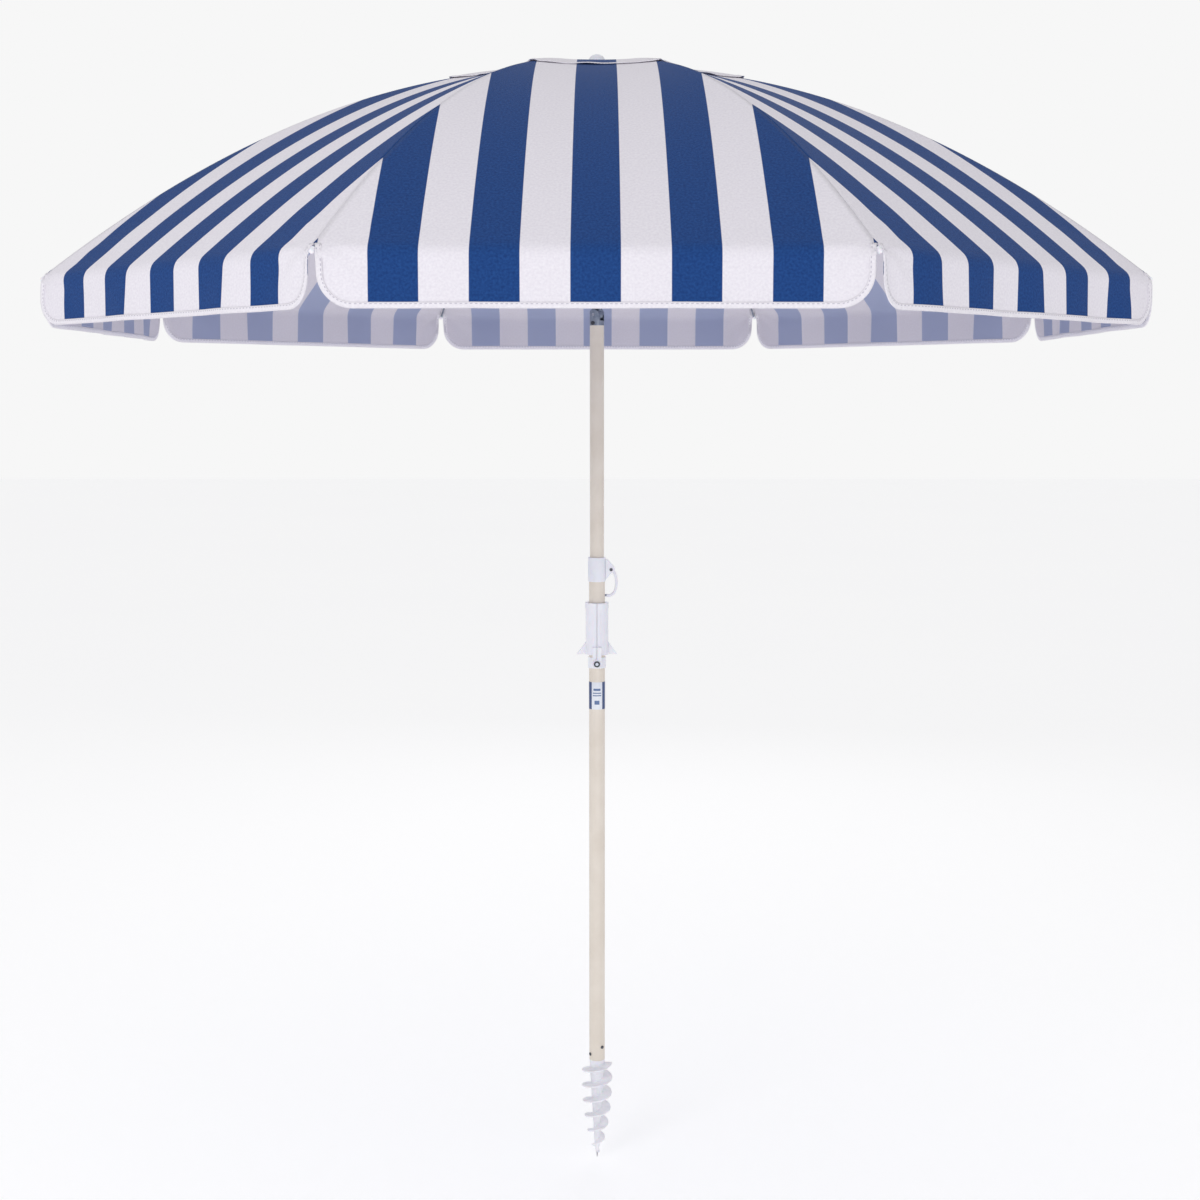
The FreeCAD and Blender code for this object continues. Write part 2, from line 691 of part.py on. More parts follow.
def tilt_socket():
    plug = cylinder("socket_plug", "upper_radius - upper_wall", "spigot_length",
                    "tilt_base - spigot_length")
    base = cylinder("socket_base", "upper_radius", "tilt_pivot - tilt_base", "tilt_base")
    post = cylinder("socket_post", "upper_radius", "tilt_pivot - tilt_base + neck_rise",
                    "tilt_base")
    rounding = cylinder("socket_round", "ear_radius", "upper_radius * 2", z="tilt_pivot",
                        y="-1 * upper_radius", turn=ALONG_Y)
    ears = common("socket_ears", post, rounding)
    slot = box("socket_slot", "upper_radius * 4", "( tongue_half + tilt_gap ) * 2",
               "neck_rise * 4", "-2 * upper_radius", "-1 * ( tongue_half + tilt_gap )",
               "tilt_pivot - tongue_radius - tilt_gap")
    pin = cylinder("socket_pin_bore", "tilt_pin_radius", "upper_radius * 4", z="tilt_pivot",
                   y="-2 * upper_radius", turn=ALONG_Y)
    pocket = cylinder("socket_button_bore", "button_radius + button_gap",
                      "button_depth + button_travel + button_gap", z="tilt_pivot - button_drop",
                      y="-1 * upper_radius - button_out", turn=ALONG_Y)
    fork = cut("socket_fork", fuse("socket_whole", plug, base, ears), slot)
    body = cut("tilt_socket_body", cut("socket_bored", fork, pin), pocket)
    node(on_tilt_axis(body), "tilt_socket")


def tilt_tongue():
    disc = cylinder("tongue_disc", "tongue_radius", "tongue_half * 2", z="tilt_pivot",
                    y="-1 * tongue_half", turn=ALONG_Y)
    neck = box("tongue_neck", "tongue_radius * 1.6", "tongue_half * 2", "neck_rise",
               "-0.8 * tongue_radius", "-1 * tongue_half", "tilt_pivot")
    shoulder = cylinder("tongue_shoulder", "upper_radius", "tilt_end - tilt_pivot - neck_rise",
                        "tilt_pivot + neck_rise")
    plug = cylinder("tongue_plug", "upper_radius - upper_wall", "spigot_length", "tilt_end")
    bore = cylinder("tongue_bore", "tilt_pin_radius + bore_gap", "tongue_half * 4", z="tilt_pivot",
                    y="-2 * tongue_half", turn=ALONG_Y)
    body = cut("tilt_tongue_body", fuse("tongue_whole", disc, neck, shoulder, plug), bore)
    node(on_tilt_axis(body), "tilt_tongue")


def tilt_pin_and_button():
    pin = cylinder("tilt_pin_rod", "tilt_pin_radius", "upper_radius * 2", z="tilt_pivot",
                   y="-1 * upper_radius", turn=ALONG_Y)
    limit = cylinder("tilt_pin_limit", "upper_radius", "tilt_pin_radius * 4",
                     "tilt_pivot - 2 * tilt_pin_radius")
    node(on_tilt_axis(common("tilt_pin_body", pin, limit)), "tilt_pin")
    turn = Rotation(Vector(0, 0, 1), S.tilt_turn)
    out = turn.multVec(Vector(0, -1, 0))
    button = cylinder("tilt_button_rod", "button_radius", "button_depth",
                      z="tilt_pivot - button_drop", x=f"( upper_radius + button_out ) * {out.x}",
                      y=f"( upper_radius + button_out ) * {out.y}", turn=turn * ALONG_Y)
    node(button, "tilt_button")


# ---------------------------------------------------------------- crown, runner and finial


def heading(index):
    """The azimuth of a rib in degrees; the first rib is right of the front panel."""
    step = 360 / S.rib_count
    return -90 + step / 2 + index * step


def hub_slots(name, height, low, high, floor, width):
    """Radial slots, one at each rib, as one tool."""
    slots = []
    for k in range(S.rib_count):
        slot = box(f"{name}_{k}", "crown_radius * 2", width, high, floor, "0", "0")
        turn = Rotation(Vector(0, 0, 1), heading(k))
        slot.Placement = Placement(Vector(0, 0, 0), turn)
        along = turn.multVec(Vector(1, 0, 0))
        side = turn.multVec(Vector(0, 1, 0))
        bind(
            slot,
            x=f"{floor} * {along.x} - {width} / 2 * {side.x}",
            y=f"{floor} * {along.y} - {width} / 2 * {side.y}",
            z=f"{height} - {low}",
        )
        slots.append(slot)
    return fuse(name, *slots)


def ring(name, radius, height):
    """A ring of round wire about the pole, at the hinges."""
    wire = doc.addObject("Part::Torus", name)
    return bind(wire, Radius1="hub_radius", Radius2=radius, z=height)


def crown():
    body = new_body("crown_blank")
    turned(body, "crown_turn", [
        ("finial_stem", "crown_base"),
        ("finial_stem", "hinge_height + crown_half_height"),
        ("crown_radius", "hinge_height + crown_half_height"),
        ("crown_radius", "hinge_height - crown_half_height"),
        ("slot_floor - 2", "hinge_height - crown_half_height"),
        ("slot_floor - 2", "crown_base"),
        ("upper_radius - upper_wall", "crown_base"),
        ("upper_radius - upper_wall", "crown_base - spigot_length"),
        ("0", "crown_base - spigot_length"),
        ("0", "crown_base"),
    ])
    slots = hub_slots("crown_slots", "hinge_height", "crown_half_height * 3",
                      "crown_half_height * 3 + eye_radius + hinge_gap", "slot_floor",
                      "( eye_width + hinge_gap * 2 )")
    away = fuse("crown_away", slots, ring("crown_groove", "wire_radius", "hinge_height"))
    node(cut("crown_body", body, away), "crown")
    node(ring("crown_wire_body", "wire_radius", "hinge_height"), "crown_wire")


def top_pole():
    node(
        tube("top_tube", "upper_radius", "upper_radius - upper_wall",
             "crown_base - tilt_end", "tilt_end"),
        "top_pole",
    )


def finial():
    """A shallow dome over the vent cap, with a stem down into the crown."""
    seat = S.canopy_top + S.cap_rise + 0.5
    edge = Vector(S.finial_radius, 0, seat)
    brow = Vector(S.finial_radius, 0, seat + S.finial_height * 0.22)
    top = Vector(0, 0, seat + S.finial_height)
    dome_curve = Part.BezierCurve()
    dome_curve.setPoles([brow, Vector(S.finial_radius * 0.95, 0, top.z), top])
    foot = S.crown_base
    profile = Part.Face(Part.Wire([
        Part.makeLine(Vector(0, 0, foot), Vector(S.finial_stem, 0, foot)),
        Part.makeLine(Vector(S.finial_stem, 0, foot), Vector(S.finial_stem, 0, seat)),
        Part.makeLine(Vector(S.finial_stem, 0, seat), edge),
        Part.makeLine(edge, brow),
        dome_curve.toShape(),
        Part.makeLine(top, Vector(0, 0, foot)),
    ]))
    dome = doc.addObject("Part::Feature", "finial_body")
    dome.Shape = profile.revolve(Vector(0, 0, 0), Vector(0, 0, 1), 360)
    node(dome, "finial")


def runner():
    body = new_body("runner_blank")
    wall = "runner_bore + runner_wall"
    bead = f"{wall} + runner_lip"
    bottom = "runner_height - runner_length"
    turned(body, "runner_turn", [
        ("runner_bore", bottom),
        (bead, bottom),
        (bead, f"{bottom} + crown_half_height"),
        (wall, f"{bottom} + crown_half_height + runner_lip"),
        (wall, "runner_height - crown_half_height"),
        ("crown_radius", "runner_height - crown_half_height"),
        ("crown_radius", "runner_height + crown_half_height"),
        ("runner_bore", "runner_height + crown_half_height"),
    ])
    catch_height = "runner_height - catch_drop"
    half = "( catch_knob + catch_gap + catch_wall )"
    boss = box("catch_boss", "catch_reach", f"2 * {half}", f"2 * {half}", f"{wall} - 1",
               f"-1 * {half}", f"{catch_height} - {half}")
    slots = hub_slots("runner_slots", "runner_height", "crown_half_height * 2",
                      "crown_half_height * 4", "slot_floor", "( eye_width + hinge_gap * 2 )")
    sockets = hub_slots("runner_sockets", "runner_height", "crown_half_height * 2",
                        "crown_half_height * 2 + strut_pin + hinge_gap / 2",
                        "( hub_radius - strut_pin - hinge_gap )",
                        "( eye_width + pin_overhang * 2 + pin_gap * 2 )")
    trim = cylinder("socket_trim", "hub_radius + strut_pin + hinge_gap", "crown_half_height * 4",
                    "runner_height - crown_half_height * 2")
    nose = cylinder("catch_nose_bore", "catch_nose + catch_gap", "crown_radius",
                    z=catch_height, turn=ALONG_X)
    knob = cylinder("catch_knob_bore", "catch_knob + catch_gap", "crown_radius",
                    x=f"{wall} + 1", z=catch_height, turn=ALONG_X)
    away = fuse("runner_away", slots, common("runner_pin_sockets", sockets, trim), nose, knob)
    node(cut("runner_body", fuse("runner_whole", body, boss), away), "runner")
    knob_start = f"{wall} + 1 + catch_gap"
    catch = fuse(
        "runner_catch_body",
        cylinder("catch_nose_rod", "catch_nose", f"{wall} + 2 - upper_radius - nose_gap",
                 x="upper_radius + nose_gap", z=catch_height, turn=ALONG_X),
        cylinder("catch_knob_rod", "catch_knob", "catch_reach + pull_depth", x=knob_start,
                 z=catch_height, turn=ALONG_X),
        cylinder("catch_pull_rod", "catch_pull", "pull_depth", x=f"{knob_start} + catch_reach + 1",
                 z=catch_height, turn=ALONG_X),
    )
    node(catch, "runner_catch")


# ---------------------------------------------------------------- ribs, fittings and struts


def set_round(thing, index):
    """Turn a piece that was made along +X to its own rib."""
    thing.Placement = Placement(Vector(0, 0, 0), Rotation(Vector(0, 0, 1), heading(index)))
    return thing


def rib_end():
    """Where the rib leaves the curve at the fabric's edge, and its direction there."""
    slope = -2 * S.canopy_drop / S.canopy_radius
    along = Vector(1, 0, slope)
    along.normalize()
    return Vector(S.canopy_radius, 0, rib_height(S.canopy_radius)), along


def rib_rod():
    """The rib's rod: tangent arcs through points of the fabric's curve, then a straight end."""
    arcs = 6
    step = (S.canopy_radius - S.hub_radius) / arcs
    slope = math.atan(-2 * S.canopy_drop * S.hub_radius / S.canopy_radius ** 2)
    spans = []
    for k in range(arcs):
        start = Vector(S.hub_radius + k * step, 0, rib_height(S.hub_radius + k * step))
        end = Vector(start.x + step, 0, rib_height(start.x + step))
        chord = end - start
        half_turn = slope - math.atan2(chord.z, chord.x)
        bend_radius = chord.Length / 2 / math.sin(half_turn)
        centre = start + Vector(math.sin(slope), 0, -math.cos(slope)) * bend_radius
        along = Vector(math.cos(slope), 0, math.sin(slope))
        section = Part.Face(Part.Wire([Part.makeCircle(S.rib_radius, start, along)]))
        spans.append(section.revolve(centre, Vector(0, 1, 0), math.degrees(2 * half_turn)))
        slope -= 2 * half_turn
    along = Vector(math.cos(slope), 0, math.sin(slope))
    spans.append(Part.makeCylinder(S.rib_radius, S.rib_overhang, end, along))
    return spans[0].fuse(spans[1:])


def rib_shape():
    hinge = Vector(S.hub_radius, -S.eye_width / 2, rib_height(S.hub_radius))
    eye = Part.makeCylinder(S.eye_radius, S.eye_width, hinge, Vector(0, 1, 0))
    bore = Part.makeCylinder(S.wire_radius + S.wire_gap, S.eye_width + 2,
                             hinge - Vector(0, 1, 0), Vector(0, 1, 0))
    return rib_rod().fuse(eye).cut(bore)


def bracket_frame():
    """The strut bracket's place on the rib, its angle in degrees, and its hinge."""
    place = Vector(S.bracket_place, 0, rib_height(S.bracket_place))
    lean = math.atan(2 * S.canopy_drop * S.bracket_place / S.canopy_radius ** 2)
    down = Vector(-math.sin(lean), 0, -math.cos(lean))
    return place, math.degrees(lean), place + down * S.bracket_drop


def bracket_shape():
    """A clip round the rib with two cheeks that hold the strut's eye, and the rivet through
    them, drawn level and then leaned to the rib."""
    place, lean, hinge = bracket_frame()
    inner = S.eye_width / 2 + S.hinge_gap
    half = inner + S.cheek_thickness
    block_height = S.clip_above + 2 * S.rib_radius + S.clip_below
    block = Part.makeBox(S.bracket_length, 2 * half, block_height,
                         Vector(-S.bracket_length / 2, -half, -S.rib_radius - S.clip_below))
    cheek = Part.makeBox(S.eye_radius * 2 + 2, 2 * half, S.bracket_drop + S.eye_radius,
                         Vector(-S.eye_radius - 1, -half, -S.bracket_drop - S.eye_radius))
    gap_top = -S.bracket_drop + S.eye_radius + S.hinge_gap
    gap = Part.makeBox(S.bracket_length * 2, 2 * inner, S.bracket_drop,
                       Vector(-S.bracket_length, -inner, gap_top - S.bracket_drop))
    hole = Part.makeCylinder(S.wire_radius, 4 * half, Vector(0, -2 * half, -S.bracket_drop),
                             Vector(0, 1, 0))
    clip = block.fuse(cheek).cut(gap).cut(hole)
    rivet = Part.makeCylinder(S.wire_radius, 2 * half, Vector(0, -half, -S.bracket_drop),
                              Vector(0, 1, 0))
    for head_y in (-half - S.hinge_cap, half):
        rivet = rivet.fuse(Part.makeCylinder(S.wire_radius + S.hinge_head, S.hinge_cap,
                                             Vector(0, head_y, -S.bracket_drop),
                                             Vector(0, 1, 0)))
    for piece in (clip, rivet):
        piece.rotate(Vector(0, 0, 0), Vector(0, 1, 0), lean)
        piece.translate(place)
    return clip, rivet


def tip_cap_shape():
    """The round cap on the rib's end, outside the fabric."""
    end, along = rib_end()
    start = end + along * S.tip_start
    sleeve = Part.makeCylinder(S.tip_radius, S.tip_length - S.tip_radius, start, along)
    dome = Part.makeSphere(S.tip_radius, start + along * (S.tip_length - S.tip_radius))
    return sleeve.fuse(dome).removeSplitter()


def ribs():
    rib = rib_shape()
    clip, rivet = bracket_shape()
    cap = tip_cap_shape().cut(rib)
    fittings = Part.makeCompound([clip.cut(rib), rivet, cap])
    for k in range(S.rib_count):
        for label, shape in ((f"rib_{k + 1}", rib), (f"rib_fittings_{k + 1}", fittings)):
            piece = doc.addObject("Part::Feature", label + "_body")
            piece.Shape = shape.copy()
            node(set_round(piece, k), label)


def struts():
    """Straight rods from the runner to the brackets. Each has trunnions at its inner end, which
    sit in sockets of the runner that are open below."""
    place, lean, hinge = bracket_frame()
    foot = Vector(S.hub_radius, 0, S.runner_height)
    reach = hinge - foot
    length = reach.Length
    rise = math.degrees(math.atan2(reach.z, reach.x))
    for k in range(S.rib_count):
        name = f"strut_{k + 1}"
        rod = cylinder(name + "_rod", "strut_radius", str(length), turn=ALONG_X)
        eyes = [
            cylinder(f"{name}_eye_{end}", "eye_radius", "eye_width", x=str(x),
                     y="-1 * eye_width / 2", turn=ALONG_Y)
            for end, x in (("inner", 0), ("outer", length))
        ]
        trunnion = cylinder(name + "_trunnion", "strut_pin", "eye_width + 2 * pin_overhang",
                            y="-1 * eye_width / 2 - pin_overhang", turn=ALONG_Y)
        bore = cylinder(name + "_bore", "wire_radius + wire_gap", "eye_width + 2",
                        x=str(length), y="-1 * eye_width / 2 - 1", turn=ALONG_Y)
        strut = cut(name + "_body", fuse(name + "_whole", rod, *eyes, trunnion), bore)
        lean_in = Placement(foot, Rotation(Vector(0, 1, 0), -rise))
        strut.Placement = Placement(Vector(0, 0, 0), Rotation(Vector(0, 0, 1), heading(k))) * lean_in
        node(strut, name)


# ---------------------------------------------------------------- canopy


FACETS = 18


def gore(inner, outer, raised, flap, gap):
    """One fabric panel along +X: straight threads run between the curves of its two ribs, and a
    flap hangs from its outer edge. The curves are drawn as short straight runs. gap is the free
    space to each rib's plane."""
    thickness = S.fabric_thickness
    half = math.pi / S.rib_count

    def fall(end, lowered):
        radii = [inner + (end - inner) * k / FACETS for k in range(FACETS + 1)]
        return [
            Vector(r, 0, rib_height(r) + S.rib_drop + raised - lowered) for r in radii
        ]

    top = fall(outer, 0)
    under = fall(outer - (thickness if flap else 0), thickness)
    corners = top[:]
    if flap:
        low = top[-1].z - flap
        corners += [Vector(outer, 0, low), Vector(outer - thickness, 0, low)]
    corners += reversed(under)
    sides = []
    for side in (-1, 1):
        wire = Part.makePolygon(corners + corners[:1])
        wire.rotate(Vector(0, 0, 0), Vector(0, 0, 1), math.degrees(side * half))
        wire.translate(Vector(side * gap * math.sin(half), -side * gap * math.cos(half), 0))
        sides.append(wire)
    return Part.makeLoft(sides, True, True)


def eyelets():
    """What a panel loses at its two lower corners, where the rib ends come out."""
    end, along = rib_end()
    holes = []
    for side in (-1, 1):
        reach = 4 * S.eyelet_radius
        hole = Part.makeCylinder(S.eyelet_radius, 2 * reach, end - Vector(reach, 0, 0),
                                 Vector(1, 0, 0))
        hole.rotate(Vector(0, 0, 0), Vector(0, 0, 1), side * 180 / S.rib_count)
        holes.append(hole)
    return holes


def canopy():
    panel = gore(S.vent_radius, S.canopy_radius, 0, S.flap_depth, S.seam_gap)
    for hole in eyelets():
        panel = panel.cut(hole)
    cap_gore = gore(S.finial_stem + S.cap_gap, S.cap_radius, S.cap_rise, 0, 0)
    cap = None
    for k in range(S.rib_count):
        middle = heading(k) + 180 / S.rib_count
        piece = doc.addObject("Part::Feature", f"canopy_panel_{k + 1}_body")
        piece.Shape = panel.copy()
        piece.Placement = Placement(Vector(0, 0, 0), Rotation(Vector(0, 0, 1), middle))
        node(piece, f"canopy_panel_{k + 1}")
        turned_gore = cap_gore.copy()
        turned_gore.rotate(Vector(0, 0, 0), Vector(0, 0, 1), middle)
        cap = turned_gore if cap is None else cap.fuse(turned_gore)
    whole = doc.addObject("Part::Feature", "vent_cap_body")
    whole.Shape = cap.removeSplitter()
    node(whole, "vent_cap")


# ---------------------------------------------------------------- build, check and export

lower_pole()
sand_anchor()
anchor_screws()
pole_label()
pole_collar()
latch_lever()
handle_mount()
handle_rivets()
handle("handle_left", -1, 0)
handle("handle_right", 1, 1)
upper_pole()
tilt_socket()
tilt_tongue()
tilt_pin_and_button()
crown()
top_pole()
finial()
runner()
ribs()
struts()
canopy()
doc.recompute()

for thing in doc.Objects:
    if "Invalid" in thing.State or "Error" in thing.State:
        raise RuntimeError(f"{thing.Name} failed: {thing.getStatusString()}")
for thing in nodes:
    shape = thing.Shape
    if shape.isNull() or not shape.isValid() or not shape.Solids:
        raise RuntimeError(f"{thing.Label} has no valid solid")
os.makedirs("parts", exist_ok=True)
for thing in nodes:
    thing.Shape.exportStep(f"parts/{thing.Label}.step")
print(len(nodes), "nodes")
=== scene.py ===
# %% [markdown]
# # A striped beach umbrella
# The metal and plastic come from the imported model, which also gives every place and joint. This
# notebook adds what a drawing of tubes can't show: eight panels of striped cloth with sewn hems,
# a loose vent cap, softened plastic edges, and a finish for every piece.
# All lengths are in metres, Z is up, and the front of the umbrella faces -Y.

# %% Load the model
import math

import bmesh
import bpy
from mathutils import Matrix, Vector


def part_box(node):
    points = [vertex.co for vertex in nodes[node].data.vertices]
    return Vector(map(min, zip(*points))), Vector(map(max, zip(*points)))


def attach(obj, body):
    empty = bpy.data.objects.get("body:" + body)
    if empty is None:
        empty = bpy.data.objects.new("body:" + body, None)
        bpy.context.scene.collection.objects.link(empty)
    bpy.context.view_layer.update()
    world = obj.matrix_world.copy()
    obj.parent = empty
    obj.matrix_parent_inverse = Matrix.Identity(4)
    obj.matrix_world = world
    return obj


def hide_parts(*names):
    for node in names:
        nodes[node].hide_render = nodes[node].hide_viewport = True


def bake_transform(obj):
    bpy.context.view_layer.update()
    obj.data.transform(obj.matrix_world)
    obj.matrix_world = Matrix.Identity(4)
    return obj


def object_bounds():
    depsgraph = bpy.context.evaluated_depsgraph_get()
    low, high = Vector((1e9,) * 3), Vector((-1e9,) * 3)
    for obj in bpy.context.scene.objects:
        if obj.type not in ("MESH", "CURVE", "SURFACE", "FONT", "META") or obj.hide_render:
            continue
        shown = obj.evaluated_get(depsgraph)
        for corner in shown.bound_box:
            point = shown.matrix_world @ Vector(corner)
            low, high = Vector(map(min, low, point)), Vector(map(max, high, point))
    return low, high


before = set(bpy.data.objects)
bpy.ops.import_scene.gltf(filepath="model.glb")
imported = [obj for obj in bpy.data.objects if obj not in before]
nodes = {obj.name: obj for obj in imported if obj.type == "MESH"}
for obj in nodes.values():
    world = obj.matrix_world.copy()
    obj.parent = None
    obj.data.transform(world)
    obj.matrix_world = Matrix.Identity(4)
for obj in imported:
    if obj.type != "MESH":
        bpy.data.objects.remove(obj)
cad_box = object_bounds()
scene = bpy.context.scene

# %% [markdown]
# ## Camera
# A person stands about three metres away and looks level with the pole's middle, so the canopy
# is seen a little from below and the rear flaps show under the front ones. A long lens keeps the
# pole straight. The camera is turned down a few degrees instead of shifted.

# %% Camera
EYE_HEIGHT = 1.559
EYE_DISTANCE = 3.307
EYE_SIDE = 0.006
PITCH_DOWN = math.radians(6.82)
LENS = 50.2

camera_data = bpy.data.cameras.new("camera")
camera_data.lens = LENS
camera_data.sensor_width = 36
camera = bpy.data.objects.new("camera", camera_data)
camera.location = (EYE_SIDE, -EYE_DISTANCE, EYE_HEIGHT)
camera.rotation_euler = (math.pi / 2 - PITCH_DOWN, 0, 0)
scene.collection.objects.link(camera)
scene.camera = camera
scene.view_settings.view_transform = "Standard"

# %% [markdown]
# ## Helpers for nodes
# Every finish here is a Principled shader with a few textures in front of it. Short helpers add
# a node, link sockets and mix colours, so that each material reads as a list of what it does.

# %% Node helpers
def srgb(red, green, blue):
    """A given colour, as the linear values that a shader takes."""
    return tuple(((c / 255 + 0.055) / 1.055) ** 2.4 for c in (red, green, blue)) + (1,)


def add(tree, kind, **values):
    """A node, with its properties and then its unlinked inputs set by name."""
    node = tree.nodes.new(kind)
    for name, value in values.items():
        if hasattr(node, name):
            setattr(node, name, value)
        else:
            node.inputs[name.replace("_", " ")].default_value = value
    return node


def math_node(tree, operation, first, second=0.0):
    node = add(tree, "ShaderNodeMath", operation=operation)
    for socket, value in zip(node.inputs, (first, second)):
        if isinstance(value, (int, float)):
            socket.default_value = value
        else:
            tree.links.new(value, socket)
    return node.outputs[0]


def mix_colour(tree, share, first, second):
    node = add(tree, "ShaderNodeMix", data_type="RGBA")
    for socket, value in ((node.inputs[0], share), (node.inputs[6], first), (node.inputs[7], second)):
        if isinstance(value, (int, float, tuple)):
            socket.default_value = value
        else:
            tree.links.new(value, socket)
    return node.outputs[2]


def spread(tree, value, low, high, new_low, new_high):
    """Stretch a value from one range to another, and stop at its ends."""
    node = add(tree, "ShaderNodeMapRange")
    ends = {"From Min": low, "From Max": high, "To Min": new_low, "To Max": new_high}
    for name, number in ends.items():
        node.inputs[name].default_value = number
    tree.links.new(value, node.inputs["Value"])
    return node.outputs[0]


def new_material(name, **values):
    """A material whose Principled shader has these values on its own sockets."""
    material = bpy.data.materials.new(name)
    material.use_nodes = True
    shader = material.node_tree.nodes["Principled BSDF"]
    for socket, value in values.items():
        shader.inputs[socket.replace("_", " ")].default_value = value
    return material, material.node_tree, shader


def bump(tree, shader, height, strength, distance):
    node = add(tree, "ShaderNodeBump", Strength=strength, Distance=distance)
    tree.links.new(height, node.inputs["Height"])
    tree.links.new(node.outputs["Normal"], shader.inputs["Normal"])


# %% [markdown]
# ## Shared surface effects
# Two effects turn up in many finishes, so each is a node group that is made once. Grain is the
# fine unevenness of moulded plastic, paint or zinc, with a slow change of tone over it. Weave is
# the cross of warp and weft threads, with threads that differ a little from each other.

# %% Node groups
def group(name, inputs, outputs):
    tree = bpy.data.node_groups.new(name, "ShaderNodeTree")
    for socket, kind, default in inputs:
        made = tree.interface.new_socket(socket, in_out="INPUT", socket_type=kind)
        if default is not None:
            made.default_value = default
    for socket in outputs:
        tree.interface.new_socket(socket, in_out="OUTPUT", socket_type="NodeSocketFloat")
    return tree, add(tree, "NodeGroupInput"), add(tree, "NodeGroupOutput")


def make_grain():
    tree, source, sink = group(
        "surface grain",
        [("Vector", "NodeSocketVector", None), ("Grain", "NodeSocketFloat", 900.0),
         ("Cloud", "NodeSocketFloat", 18.0)],
        ["Height", "Tone"],
    )
    for scale, output, detail in (("Grain", "Height", 3.0), ("Cloud", "Tone", 5.0)):
        noise = add(tree, "ShaderNodeTexNoise", Detail=detail)
        tree.links.new(source.outputs["Vector"], noise.inputs["Vector"])
        tree.links.new(source.outputs[scale], noise.inputs["Scale"])
        tree.links.new(noise.outputs["Fac"], sink.inputs[output])
    return tree


def make_weave():
    tree, source, sink = group(
        "cloth weave",
        [("Vector", "NodeSocketVector", None), ("Threads", "NodeSocketFloat", 1300.0),
         ("Melange", "NodeSocketFloat", 260.0)],
        ["Height", "Tone"],
    )
    parts = add(tree, "ShaderNodeSeparateXYZ")
    tree.links.new(source.outputs["Vector"], parts.inputs[0])
    turns = math_node(tree, "MULTIPLY", source.outputs["Threads"], 2 * math.pi)
    waves = [
        math_node(tree, "SINE", math_node(tree, "MULTIPLY", parts.outputs[axis], turns))
        for axis in (0, 1)
    ]
    crossing = math_node(tree, "MULTIPLY", waves[0], waves[1])
    tree.links.new(spread(tree, crossing, -1, 1, 0, 1), sink.inputs["Height"])
    flecks = add(tree, "ShaderNodeTexNoise", Detail=4.0)
    tree.links.new(source.outputs["Vector"], flecks.inputs["Vector"])
    tree.links.new(source.outputs["Melange"], flecks.inputs["Scale"])
    tree.links.new(spread(tree, flecks.outputs["Fac"], 0.3, 0.7, 0, 1), sink.inputs["Tone"])
    return tree


GRAIN = make_grain()
WEAVE = make_weave()


def grouped(tree, effect, coordinate, **values):
    """Place a node group in a material, fed by Object coordinates or by a named UV map."""
    node = add(tree, "ShaderNodeGroup", node_tree=effect)
    if coordinate == "Object":
        source = add(tree, "ShaderNodeTexCoord").outputs["Object"]
    else:
        source = add(tree, "ShaderNodeUVMap", uv_map=coordinate).outputs[0]
    tree.links.new(source, node.inputs["Vector"])
    for name, value in values.items():
        node.inputs[name].default_value = value
    return node, source


# %% [markdown]
# ## Striped cloth
# The canopy is coated polyester, printed with broad stripes that run along each panel's middle.
# The UV map is in metres of cloth: across the panel, and down it. A cosine of the distance
# across gives the stripes, so they stay straight and parallel on the flaps too. The underside
# shows the stripes only faintly, and some light comes through the cloth.

# %% Striped cloth
STRIPE_PERIOD = 0.1405
NAVY = srgb(22, 58, 118)
NAVY_FLECK = srgb(34, 76, 140)
WHITE_CLOTH = srgb(240, 237, 244)
WHITE_SHADE = srgb(229, 225, 234)
PALE_BLUE = srgb(182, 190, 222)
LINING = srgb(233, 230, 239)


def striped_cloth(name, stripe, fleck, ground, ground_shade, through, sheen):
    """Cloth with stripes. through is the share of light that passes the cloth."""
    material, tree, shader = new_material(
        name, Roughness=0.78, Sheen_Weight=sheen, Sheen_Roughness=0.4, Specular_IOR_Level=0.15
    )
    weave, cloth = grouped(tree, WEAVE, "cloth")
    across = add(tree, "ShaderNodeSeparateXYZ")
    tree.links.new(cloth, across.inputs[0])
    turns = math_node(tree, "MULTIPLY", across.outputs[0], 2 * math.pi / STRIPE_PERIOD)
    mask = spread(tree, math_node(tree, "COSINE", turns), -0.02, 0.02, 0, 1)
    blue = mix_colour(tree, weave.outputs["Tone"], stripe, fleck)
    white = mix_colour(tree, weave.outputs["Tone"], ground, ground_shade)
    colour = mix_colour(tree, mask, white, blue)
    tree.links.new(colour, shader.inputs["Base Color"])
    bump(tree, shader, weave.outputs["Height"], 0.25, 0.0003)
    translucent = add(tree, "ShaderNodeBsdfTranslucent")
    tree.links.new(colour, translucent.inputs["Color"])
    both = add(tree, "ShaderNodeMixShader", Fac=through)
    tree.links.new(shader.outputs[0], both.inputs[1])
    tree.links.new(translucent.outputs[0], both.inputs[2])
    tree.links.new(both.outputs[0], tree.nodes["Material Output"].inputs["Surface"])
    return material


CLOTH_TOP = striped_cloth("striped cloth", NAVY, NAVY_FLECK, WHITE_CLOTH, WHITE_SHADE, 0.06, 0.06)
CLOTH_UNDER = striped_cloth(
    "striped cloth underside", PALE_BLUE, PALE_BLUE, LINING, WHITE_SHADE, 0.3, 0.04
)
print("stripes repeat every", 1000 * STRIPE_PERIOD, "mm")

# %% [markdown]
# The hems are plain white binding, folded over the cloth's edge and sewn with one line of
# stitches. The stitches are short dashes along the binding, a little darker and pressed in.

# %% Binding with stitches
HEM_WIDTH = 0.009
STITCH_LENGTH = 0.0035
STITCH_INSET = 0.0065


